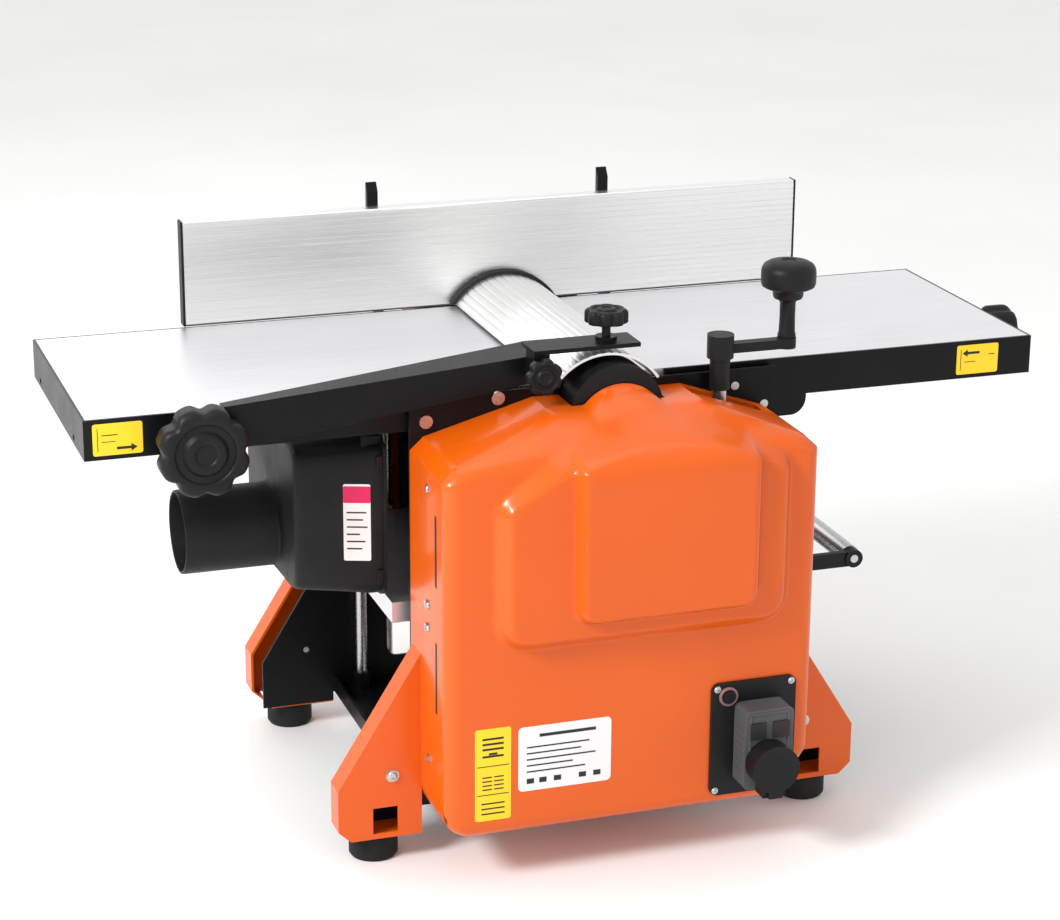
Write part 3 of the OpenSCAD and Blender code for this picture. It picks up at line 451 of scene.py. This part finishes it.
def smooth_step(t):
    """0 below 0, 1 above 1 and a smooth rise between."""
    t = min(max(t, 0.0), 1.0)
    return t * t * (3 - 2 * t)


def shoulder(x, crest):
    """Height of the top edge at a distance x from the middle, outside the crest's end on that side."""
    if x > SHOULDER_X:
        return CORNER_Z + (CORNER_X - x) / (CORNER_X - SHOULDER_X) * (SHOULDER_Z - CORNER_Z)
    return SHOULDER_Z + (SHOULDER_X - x) / (SHOULDER_X - crest) * (CREST_Z - SHOULDER_Z)


def top_edge(x):
    """Height of the cover's top edge at x."""
    if x < CREST_LEFT:
        line = shoulder(-x, -CREST_LEFT)
    elif x > CREST_RIGHT:
        line = shoulder(x, CREST_RIGHT)
    else:
        line = CREST_Z
    arch = ARCH_Z + math.sqrt(max(0.0, ARCH_R ** 2 - (x - ARCH_X) ** 2))
    return max(line, arch) if abs(x - ARCH_X) < ARCH_R else line


def bottom_edge(x):
    """Height of the cover's bottom edge at x: rounded on the left, cut off on the right."""
    if x < FOOT_ROUND_X:
        rise = math.sqrt(max(0.0, FOOT_ROUND_R ** 2 - (x - FOOT_ROUND_X) ** 2))
        return FOOT_Z + FOOT_ROUND_R - rise
    if x > FOOT_CUT_X:
        return FOOT_Z + (x - FOOT_CUT_X) / FOOT_CUT_W * FOOT_CUT_H
    return FOOT_Z


def edge_steps(length, fine):
    """Distances along a line, dense near both ends."""
    near = [0, 0.8, 2, 4, 6.5, 9.5, 13]
    inner = length - 2 * near[-1]
    count = max(2, round(inner / fine))
    middle = [near[-1] + inner * i / count for i in range(1, count)]
    return near + middle + [length - n for n in reversed(near)]


def outline_distance(outline, x, z):
    """Distance from a point to the cover's outline."""
    best = 1e9
    for (ax, az), (bx, bz) in zip(outline, outline[1:]):
        ux, uz = bx - ax, bz - az
        length = ux * ux + uz * uz
        t = 0 if length == 0 else min(1, max(0, ((x - ax) * ux + (z - az) * uz) / length))
        best = min(best, math.hypot(x - ax - t * ux, z - az - t * uz))
        if best == 0:
            break
    return best


def outline_points():
    """The cover's outline from the front, as a closed line."""
    xs = [-HALF_W + i * 2 * HALF_W / OUTLINE_STEPS for i in range(OUTLINE_STEPS + 1)]
    outline = [(x, bottom_edge(x)) for x in xs]
    xs = [HALF_W - i * 2 * HALF_W / OUTLINE_STEPS for i in range(OUTLINE_STEPS + 1)]
    outline += [(x, top_edge(x)) for x in xs]
    return outline + outline[:1]


def drive_cover():
    """The orange front cover: one pressed sheet with two stepped bulges and rolled edges."""
    outline = outline_points()
    bm = bmesh.new()
    columns = []
    for x in [-HALF_W + d for d in edge_steps(2 * HALF_W, GRID_X)]:
        low, high = bottom_edge(x), top_edge(x)
        column = []
        for k in edge_steps(COLUMN_H, GRID_Z):
            z = low + (high - low) * k / COLUMN_H
            edge = min(FOLD_R, outline_distance(outline, x, z))
            fold = math.sqrt(max(0.0, FOLD_R ** 2 - (FOLD_R - edge) ** 2))
            y = COVER_FRONT + roof_setback(z) + FOLD_R - fold
            for bulge in BULGES:
                fade = smooth_step((dome(x) - z) / 20) * smooth_step((top_edge(x) - z) / 10)
                y -= bulge[6] * smooth_step(rounded_distance(x, z, bulge) / bulge[5]) * fade
            column.append(bm.verts.new(at(x, min(y, COVER_BACK - 1), z)))
        columns.append(column)
    for a, b in zip(columns, columns[1:]):
        for i in range(len(a) - 1):
            bm.faces.new((a[i], b[i], b[i + 1], a[i + 1]))
    border = [e for e in bm.edges if e.is_boundary]
    side = bmesh.ops.extrude_edge_only(bm, edges=border)["geom"]
    for v in [g for g in side if isinstance(g, bmesh.types.BMVert)]:
        v.co.y = at(0, COVER_BACK, 0).y
    border = [e for e in side if isinstance(e, bmesh.types.BMEdge) and e.is_boundary]
    lip = bmesh.ops.extrude_edge_only(bm, edges=border)["geom"]
    centre = at(0, 0, LIP_CENTRE_Z)
    for v in [g for g in lip if isinstance(g, bmesh.types.BMVert)]:
        v.co.x = centre.x + (v.co.x - centre.x) * LIP_SCALE
        v.co.z = centre.z + (v.co.z - centre.z) * LIP_SCALE
    piece = link_mesh("drive_cover_shell", bm, ORANGE, 50)
    return settle(piece, "drive_cover")


def cover_details():
    """Black strips of painted shade standing in for the vent slots on the cover's left side, and the screws
    of the cover, legs and rear gear cover.
    """
    bm = bmesh.new()
    # The vent slots are not cut: black boxes stand in for them, as painted shade in place of the dark
    # openings.
    for z0, z1 in ((166, 234), (287, 354)):
        add_box(bm, (-HALF_W - 0.25, -229.5, z0), (-HALF_W + 4, -224.5, z1))
    slot_shade = link_mesh("cover_slot_shade", bm, INK_AND_SHADE)
    trim(slot_shade, "machine")
    bm = bmesh.new()
    for z in (112, 240, 262, 372):
        screw(bm, (-HALF_W, -203, z), (-1, 0, 0), 3.6, 2.4)
        screw(bm, (HALF_W, -203, z), (1, 0, 0), 3.6, 2.4)
    for x in (-206, 206):
        screw(bm, (x, -178.5, 88), (0, -1, 0), 5.0, 3.0)
        screw(bm, (x, 196.2, 88), (0, 1, 0), 4.6, 1.4)
    screw(bm, (144, -136.4, 421), (0, -1, 0), 4.2, 2.2)
    rear_low, rear_high = span("gear_cover")
    for x in (rear_low.x + 14, rear_high.x - 14):
        for z in (rear_low.z + 14, rear_low.z + 186):
            screw(bm, (x, rear_high.y - 0.2, z), (0, 1, 0), 4.2, 1.8)
    heads = link_mesh("cover_screws", bm, STEEL)
    trim(heads, "machine")


# ---- fence and guard ----
FENCE_GROOVES, FENCE_GROOVE_DEPTH = 18, 0.45
FENCE_WALL = 3
FENCE_CAP = 2.5
FENCE_SHELVES = (68, 36)  # heights of its back shelves over the table
GUARD_RIBS, STEPS_PER_RIB, GUARD_RIB_DEPTH = 15, 8, 0.55
GUARD_WALL = 2.5
GUARD_INNER_STEPS = 40


def profile_bar(name, points, x0, x1, material):
    """An outline in machine Y and Z, extruded along X."""
    bm = bmesh.new()
    add_rings(bm, [[at(x, y, z) for y, z in points] for x in (x0, x1)])
    return link_mesh(name, bm, material, 20)


def fence():
    """The ribbed aluminium fence with its black end caps."""
    low, high = span("fence_face")
    face_y = low.y
    inner_y, groove_y = face_y + FENCE_WALL, face_y + FENCE_GROOVE_DEPTH
    pitch = (high.z - low.z - 4) / FENCE_GROOVES
    points = [(face_y + 0.8, low.z)]
    for i in range(FENCE_GROOVES):
        z = low.z + 2 + pitch * i
        top = z + pitch
        points += [(face_y, z), (face_y, top - 1.1), (groove_y, top - 0.8), (groove_y, top - 0.3)]
    points += [(face_y, high.z - 0.9), (face_y + 0.9, high.z)]
    points += [(high.y, high.z), (high.y, high.z - FENCE_WALL), (inner_y, high.z - FENCE_WALL)]
    for shelf in FENCE_SHELVES:
        z = TABLE_Z + shelf
        points += [(inner_y, z + FENCE_WALL), (high.y, z + FENCE_WALL), (high.y, z), (inner_y, z)]
    points += [(inner_y, low.z + FENCE_WALL), (high.y, low.z + FENCE_WALL), (high.y, low.z)]
    bar = profile_bar("fence_extrusion", points, low.x + FENCE_CAP, high.x - FENCE_CAP, FENCE_ALLOY)
    settle(bar, "fence_face")
    bm = bmesh.new()
    for x0, x1 in ((low.x, low.x + FENCE_CAP), (high.x - FENCE_CAP, high.x)):
        add_box(bm, (x0, face_y - 0.2, low.z), (x1, high.y, high.z + 0.3))
    ends = link_mesh("fence_end_caps", bm, PLASTIC)
    trim(bevel(ends, 0.7), "fence")


def guard():
    """The arched cutter guard with fine ribs along its length."""
    low, high = span("guard_cover")
    half = (high.x - low.x) / 2
    rise = high.z - low.z
    r = (half ** 2 + rise ** 2) / (2 * rise)
    cx, cz = (low.x + high.x) / 2, high.z - r
    reach = math.asin(half / r)
    outline = []
    steps = GUARD_RIBS * STEPS_PER_RIB
    for i in range(steps + 1):
        a = -reach + 2 * reach * i / steps
        groove = GUARD_RIB_DEPTH * max(0.0, math.cos(2 * math.pi * i / STEPS_PER_RIB)) ** 3
        outline.append((cx + (r - groove) * math.sin(a), cz + (r - groove) * math.cos(a)))
    for i in range(GUARD_INNER_STEPS + 1):
        a = reach * (1 - 2 * i / GUARD_INNER_STEPS) * 0.99
        outline.append((cx + (r - GUARD_WALL) * math.sin(a), cz + (r - GUARD_WALL) * math.cos(a)))
    bm = bmesh.new()
    add_rings(bm, [[at(x, y, z) for x, z in outline] for y in (low.y, high.y)])
    settle(link_mesh("guard_extrusion", bm, FENCE_ALLOY, 28), "guard_cover")


# ---- knobs ----
def knob_profile(r, h):
    """Radius and height pairs of a moulded knob with a rounded rim and a dished face."""
    shares = (
        # the rim
        (0.45, 0), (0.86, 0), (0.95, 0.04), (1, 0.14), (1, 0.72), (0.985, 0.84), (0.93, 0.94), (0.86, 1),
        # the dished face and the boss in it
        (0.70, 1), (0.66, 0.97), (0.64, 0.90), (0.50, 0.90), (0.46, 0.98), (0.42, 1.06), (0.30, 1.09),
        (0.24, 1.06), (0.22, 1.01),
    )
    return [(r * across, h * along) for across, along in shares] + [(0.01, h * 1.01)]


def lobed_knob(node, centre, direction, r, h, lobes, depth, stem):
    """A star knob in place of a CAD knob. stem is the radius and length of the stem behind it."""
    stem_r, stem_length = stem
    foot = Vector(centre) - Vector(direction).normalized() * stem_length
    bm = bmesh.new()
    add_lathe(bm, centre, direction, knob_profile(r, h), lobes, depth, sides=lobes * 16)
    add_lathe(bm, foot, direction, [(stem_r, 0), (stem_r, stem_length + h * 0.1)], sides=32)
    return settle(link_mesh(node + "_moulding", bm, PLASTIC, 42), node)


def knobs():
    """The six star knobs, each on its CAD knob's own axis."""
    x, _, z = middle("depth_knob")
    lobed_knob("depth_knob", (x, -158, z), (0, -1, 0), 41, 26, 8, 5.0, (6, 41))
    _, y, z = middle("outfeed_knob")
    end = span("outfeed_knob")[1].x
    lobed_knob("outfeed_knob", (end - 30, y, z), (1, 0, 0), 26, 26.8, 7, 3.6, (5, 18))
    x, y, _ = middle("guard_top_knob")
    top = span("guard_top_knob")[1].z
    lobed_knob("guard_top_knob", (x, y, top - 14.6), (0, 0, 1), 20, 13, 8, 3.2, (4, 22))
    x, _, z = middle("guard_side_knob")
    lobed_knob("guard_side_knob", (x, -178, z), (0, -1, 0), 17, 11, 7, 2.8, (4, 24))
    for node in ("fence_knob_left", "fence_knob_right"):
        _, y, z = middle(node)
        start = span(node)[0].x
        lobed_knob(node, (start + 6, y, z), (1, 0, 0), 17, 12, 6, 2.8, (8.5, 6))


def crank_knob():
    """The round-topped spinning grip on the crank."""
    x, y, _ = middle("crank_knob")
    profile = [
        (4.2, 0), (8, 0), (8.6, 2), (7.6, 5), (7.2, 20), (7.4, 33), (9, 35.5), (13, 37), (14, 39),
        (14.4, 43), (16, 45.5), (21, 46.8), (24.4, 48.6), (25.5, 52), (25.5, 62), (24.9, 65.5),
        (23, 68.8), (19, 71.2), (13, 72.6), (8, 73), (7.4, 72.4), (6.5, 71.8), (0.01, 71.8),
    ]
    bm = bmesh.new()
    add_lathe(bm, (x, y, span("crank_knob")[0].z), (0, 0, 1), profile, sides=96)
    settle(link_mesh("crank_grip", bm, PLASTIC, 40), "crank_knob")


# ---- dust hood ----
HOOD_SIDES = 72


def hood_ring(x, y_half, z_low, z_high, squareness):
    """A ring in the YZ plane: an ellipse at squareness 2, nearly a rectangle at 9."""
    cz, z_half = (z_low + z_high) / 2, (z_high - z_low) / 2
    power = 2 / squareness
    ring = []
    for i in range(HOOD_SIDES):
        a = 2 * math.pi * i / HOOD_SIDES
        c, s = math.cos(a), math.sin(a)
        y = y_half * math.copysign(abs(c) ** power, c)
        z = z_half * math.copysign(abs(s) ** power, s)
        ring.append(at(x, y, cz + z))
    return ring


def dust_hood():
    """The moulded dust hood: a hollow body from the wide mouth to the round port."""
    low, high = span("dust_hood")
    mouth, port = high.x, low.x
    # x, half width, lowest z, highest z, squareness
    outer = [
        (mouth, 124, 237, 396, 9), (mouth - 3, 124, 237, 396, 9), (mouth - 3.3, 120, 238, 392, 9),
        (mouth - 12, 120, 238, 392, 9), (mouth - 40, 110, 240, 389.5, 9),
        (mouth - 72, 98.6, 241.6, 386.6, 9), (mouth - 77, 96, 242, 386, 9),
        (mouth - 79.3, 93.5, 243, 383.5, 8), (mouth - 80, 90, 244, 380, 7),
        (mouth - 80, 43, 241.6, 325, 2.2), (mouth - 81.5, 40.6, 241.6, 322.6, 2),
        (mouth - 83, 40, 242, 322, 2), (port + 8, 40, 242, 322, 2), (port + 3, 40, 242, 322, 2),
        (port + 0.6, 39.6, 242.4, 321.6, 2), (port, 38.6, 243.4, 320.6, 2),
    ]
    inner = [
        (port + 0.3, 37.3, 244.7, 319.3, 2), (port + 3, 37, 245, 319, 2), (mouth - 77.5, 37, 245, 319, 2),
        (mouth - 77, 92, 245.5, 382, 9), (mouth - 12, 116.5, 241, 389, 9), (mouth, 117, 241, 389, 9),
    ]
    bm = bmesh.new()
    rings = add_rings(bm, [hood_ring(*row) for row in outer + inner], caps=(False, False))
    count = len(rings[0])
    for i in range(count):
        j = (i + 1) % count
        bm.faces.new((rings[-1][i], rings[-1][j], rings[0][j], rings[0][i]))
    piece = link_mesh("dust_hood_moulding", bm, HOOD_PLASTIC, 38)
    settle(piece, "dust_hood")
    bm = bmesh.new()
    for y in (-110, -84, -58):
        add_box(bm, (mouth - 20, y, 372), (mouth - 3, y + 3, 395))
    add_box(bm, (mouth - 17, -112, 391), (mouth - 2, -56, 395.5))
    for y in (-40, 0, 40, 80):
        add_box(bm, (mouth - 30, y, 386), (mouth - 3, y + 2.5, 394))
    for z in (262, 372):
        add_box(bm, (mouth - 9, -122.5, z - 7), (mouth - 3, -118, z + 7))
    ribs = link_mesh("hood_ribs", bm, HOOD_PLASTIC)
    trim(bevel(ribs, 0.8), "hood")


# ---- electrics ----
RIVET_INSET = 5.2


def electrics():
    """Rivets and ridges on the switch, the inlet flap's face and the ring round the reset button."""
    plate_low, plate_high = span("switch_plate")
    front = plate_low.y + 2
    bm = bmesh.new()
    for x in (plate_low.x + RIVET_INSET, plate_high.x - RIVET_INSET):
        for z in (plate_low.z + RIVET_INSET, plate_high.z - RIVET_INSET):
            screw(bm, (x, front, z), (0, -1, 0), 2.6, 1.6)
    trim(link_mesh("switch_rivets", bm, STEEL), "machine")
    low, high = span("switch_body")
    bm = bmesh.new()
    for z in (high.z - 3.2, high.z - 38, high.z - 44):
        add_box(bm, (low.x + 3, low.y - 1.0, z - 1.2), (high.x - 3, low.y + 0.4, z + 0.8))
    for x in (low.x + 4, high.x - 6):
        add_box(bm, (x, low.y - 1.0, high.z - 38), (x + 2, low.y + 0.4, high.z - 3))
    for i in range(6):
        add_box(bm, (low.x - 0.7, low.y + 4, low.z + 14 + 8 * i), (low.x + 1, low.y + 22, low.z + 18 + 8 * i))
    trim(bevel(link_mesh("switch_ridges", bm, GREY_PLASTIC), 0.4), "machine")
    low, high = span("inlet_cap")
    flap_face = [
        (23, -2.8), (23, -0.6), (22, 0.4), (18.5, 0.6), (17.8, 0.1), (12, 0.1), (11.4, 0.7), (0.01, 0.9),
    ]
    bm = bmesh.new()
    add_lathe(bm, (middle("inlet_cap")[0], low.y + 0.6, high.z - 23), (0, -1, 0), flap_face, sides=96)
    trim(link_mesh("inlet_cap_face", bm, PLASTIC, 40), "inlet_flap")
    x, _, z = middle("reset_button")
    bezel = [(9.2, -1.5), (9.2, 0.2), (8.6, 0.9), (7.2, 0.9), (6.8, 0.2), (6.8, -1.5)]
    bm = bmesh.new()
    add_lathe(bm, (x, plate_low.y, z), (0, -1, 0), bezel, sides=64)
    trim(link_mesh("reset_bezel", bm, ROSE, 40), "machine")


# ---- labels, all with generic marks ----
RIGHT, UP = (1, 0, 0), (0, 0, 1)
LABEL_BACK, LABEL_LIFT = -0.4, 0.25
MARK_DEPTHS = (0.1, 0.4)
CORNER_SHARE = 0.07
SKIRT_FACE = -136.5  # y of the table labels


def add_plate(bm, corner, across, up, outline, depths):
    """An outline in the plane of across and up, raised from the first depth to the second."""
    across, up, start = Vector(across), Vector(up), Vector(corner)
    out = across.cross(up).normalized()
    rings = [[start + across * px + up * py + out * depth for px, py in outline] for depth in depths]
    add_rings(bm, [[at(*point) for point in ring] for ring in rings])


def label(name, body, corner, across, up, size, material, lift=LABEL_LIFT):
    """A thin rounded plate. corner is its lower left corner; across and up are its directions."""
    w, h = size
    r = min(w, h) * CORNER_SHARE
    points = []
    for cx, cy, start in ((w - r, r, -90), (w - r, h - r, 0), (r, h - r, 90), (r, r, 180)):
        for i in range(5):
            a = math.radians(start + 22.5 * i)
            points.append((cx + r * math.cos(a), cy + r * math.sin(a)))
    bm = bmesh.new()
    add_plate(bm, corner, across, up, points, (LABEL_BACK, lift))
    return trim(link_mesh(name, bm, material), body)


def marks(name, body, corner, across, shapes):
    """Flat printed shapes on a label, given as points in the label's own plane."""
    bm = bmesh.new()
    for shape in shapes:
        add_plate(bm, corner, across, UP, shape, MARK_DEPTHS)
    trim(link_mesh(name, bm, INK_AND_SHADE), body)


def arrow(x, y, length, thick, way):
    """Outline of a plain arrow about a point, to the right where way is 1 and to the left where it is -1."""
    tip, tail = x + length / 2 * way, x - length / 2 * way
    neck = tip - thick * 2.2 * way
    low, high = y - thick / 2, y + thick / 2
    return [
        (tail, low), (neck, low), (neck, y - thick * 1.5), (tip, y),
        (neck, y + thick * 1.5), (neck, high), (tail, high),
    ]


def bar(x0, y0, x1, y1):
    """Outline of a rectangle between two corners."""
    return [(x0, y0), (x1, y0), (x1, y1), (x0, y1)]


def table_labels():
    """The yellow labels on both table skirts."""
    z = TABLE_Z - 33
    left = span("infeed_frame")[0].x + 8
    infeed = [arrow(30, 6, 18, 2.4, 1), bar(4, 4, 4.6, 25), bar(8, 18, 22, 18.8), bar(8, 12, 20, 12.6)]
    outfeed = [arrow(15, 21, 18, 2.4, -1), bar(4, 4, 4.6, 25), bar(34, 18, 40, 18.8), bar(8, 12, 20, 12.6)]
    for name, body, x, shapes in (
        ("infeed_label", "infeed", left, infeed),
        ("outfeed_label", "machine", 372, outfeed),
    ):
        corner = (x, SKIRT_FACE, z)
        label(name, body, corner, RIGHT, UP, (44, 29), YELLOW)
        marks(name + "_marks", body, corner, RIGHT, shapes)


def cover_labels():
    """The yellow label on the front cover."""
    corner = (-151, COVER_FRONT, 68)
    label("lined_label", "machine", corner, RIGHT, UP, (34, 90), YELLOW)
    shapes = [bar(7 + inset, 62 + inset * 0.4, 27 - inset, 64 + inset * 0.4) for inset in (0, 6)]
    shapes += [bar(7, z, 27, z + 2) for z in (69, 74, 79)]
    for z in (30, 34, 38, 42):
        shapes += [bar(7, z, 16, z + 1.2), bar(18, z, 27, z + 1.2)]
    shapes += [bar(6, z, 28, z + 1.4) for z in (6, 11, 16)]
    shapes += [bar(2, 53, 32, 53.8), bar(2, 25, 32, 25.8)]
    marks("lined_label_marks", "machine", corner, RIGHT, shapes)


def rating_plate():
    """The white plate low on the front cover."""
    corner = (-110, COVER_FRONT, 92)
    label("rating_plate", "machine", corner, RIGHT, UP, (89, 63), WHITE)
    widths = (60, 52, 66, 44, 56)
    shapes = [bar(8, 42 - row * 6, 8 + width, 43.4 - row * 6) for row, width in enumerate(widths)]
    shapes.append(bar(20, 52, 74, 55))
    shapes += [bar(x, 7, x + 7, 12) for x in (8, 20, 34, 58, 72)]
    marks("rating_marks", "machine", corner, RIGHT, shapes)


def hood_label():
    """The white label with a magenta band, lying on the hood's slanted side."""
    slant = Vector((68, -24, 0)).normalized()
    x, y, z = span("dust_hood")[1].x - 38, -110.9, 278
    label("hood_label", "hood", (x, y, z), slant, UP, (25, 74), WHITE)
    label("hood_label_band", "hood", (x, y, z + 56), slant, UP, (25, 16), MAGENTA, 0.45)
    widths = (18, 15, 19, 12, 17, 14)
    shapes = [bar(3, 46 - row * 7, 3 + width, 47.4 - row * 7) for row, width in enumerate(widths)]
    marks("hood_label_marks", "hood", (x, y, z), slant, shapes)


def labels():
    """Every label, front to back."""
    table_labels()
    cover_labels()
    hood_label()
    rating_plate()


# ---- stage and camera ----
FLOOR_HALF = 14  # metres
WORLD_STRENGTH = 0.92
LAMPS = (
    # name, place in metres, width, power
    ("key", (-2.1, -1.0, 1.9), 0.8, 66),
    ("fill", (2.2, -1.9, 1.3), 1.6, 3),
    ("top", (0.2, 0.3, 2.8), 1.8, 7),
    ("back", (-0.6, 2.6, 1.8), 1.8, 8),
)
AZIMUTH, ELEVATION, ROLL = -18.8, 18.25, 0.37  # degrees
CAMERA_AIM, CAMERA_DISTANCE = (-13.45, 0.35, 318.4), 2673  # machine millimetres
LENS, SENSOR_WIDTH, CLIP_END = 93.2, 36, 50




def stage():
    """A pale floor and soft studio light."""
    low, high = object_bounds()
    centre = (low + high) / 2
    bm = bmesh.new()
    corners = [(sx * FLOOR_HALF, sy * FLOOR_HALF) for sx, sy in ((-1, -1), (1, -1), (1, 1), (-1, 1))]
    bm.faces.new([bm.verts.new((centre.x + dx, centre.y + dy, low.z)) for dx, dy in corners])
    g = Graph("studio floor")
    tone = g.ramp(g.noise(2.0), 0.3, 0.7, (0.86, 0.86, 0.85), (0.90, 0.90, 0.89))
    g.link(tone, g.shader.inputs["Base Color"])
    g.link(g.span(g.noise(12.0), 0.55, 0.7), g.shader.inputs["Roughness"])
    link_mesh("floor", bm, g.material)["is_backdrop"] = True

    world = bpy.data.worlds.new("studio")
    world.use_nodes = True
    world.node_tree.nodes["Background"].inputs["Color"].default_value = (1, 1, 1, 1)
    world.node_tree.nodes["Background"].inputs["Strength"].default_value = WORLD_STRENGTH
    bpy.context.scene.world = world
    bpy.context.scene.view_settings.view_transform = "Standard"

    for name, place, size, power in LAMPS:
        data = bpy.data.lights.new(name, "AREA")
        data.shape = "RECTANGLE"
        data.size = size
        data.size_y = size * 0.7
        data.energy = power
        lamp = bpy.data.objects.new(name, data)
        lamp.location = place
        lamp.rotation_euler = (centre - Vector(place)).to_track_quat("-Z", "Y").to_euler()
        bpy.context.scene.collection.objects.link(lamp)


def camera():
    """The camera, fitted to the machine's own axes."""
    azimuth, elevation, roll = math.radians(AZIMUTH), math.radians(ELEVATION), math.radians(ROLL)
    level = math.cos(elevation)
    back = Vector((math.sin(azimuth) * level, -math.cos(azimuth) * level, math.sin(elevation)))
    data = bpy.data.cameras.new("camera")
    data.sensor_width = SENSOR_WIDTH
    data.lens = LENS
    data.clip_end = CLIP_END
    view = bpy.data.objects.new("camera", data)
    view.location = at(*(Vector(CAMERA_AIM) + back * CAMERA_DISTANCE))
    look = (-back).to_track_quat("-Z", "Y").to_matrix() @ Matrix.Rotation(roll, 3, "Z")
    view.rotation_euler = look.to_euler()
    bpy.context.scene.collection.objects.link(view)
    bpy.context.scene.camera = view


camera()
dress_frame()
drive_cover()
cover_details()
fence()
guard()
knobs()
crank_knob()
dust_hood()
electrics()
labels()
stage()
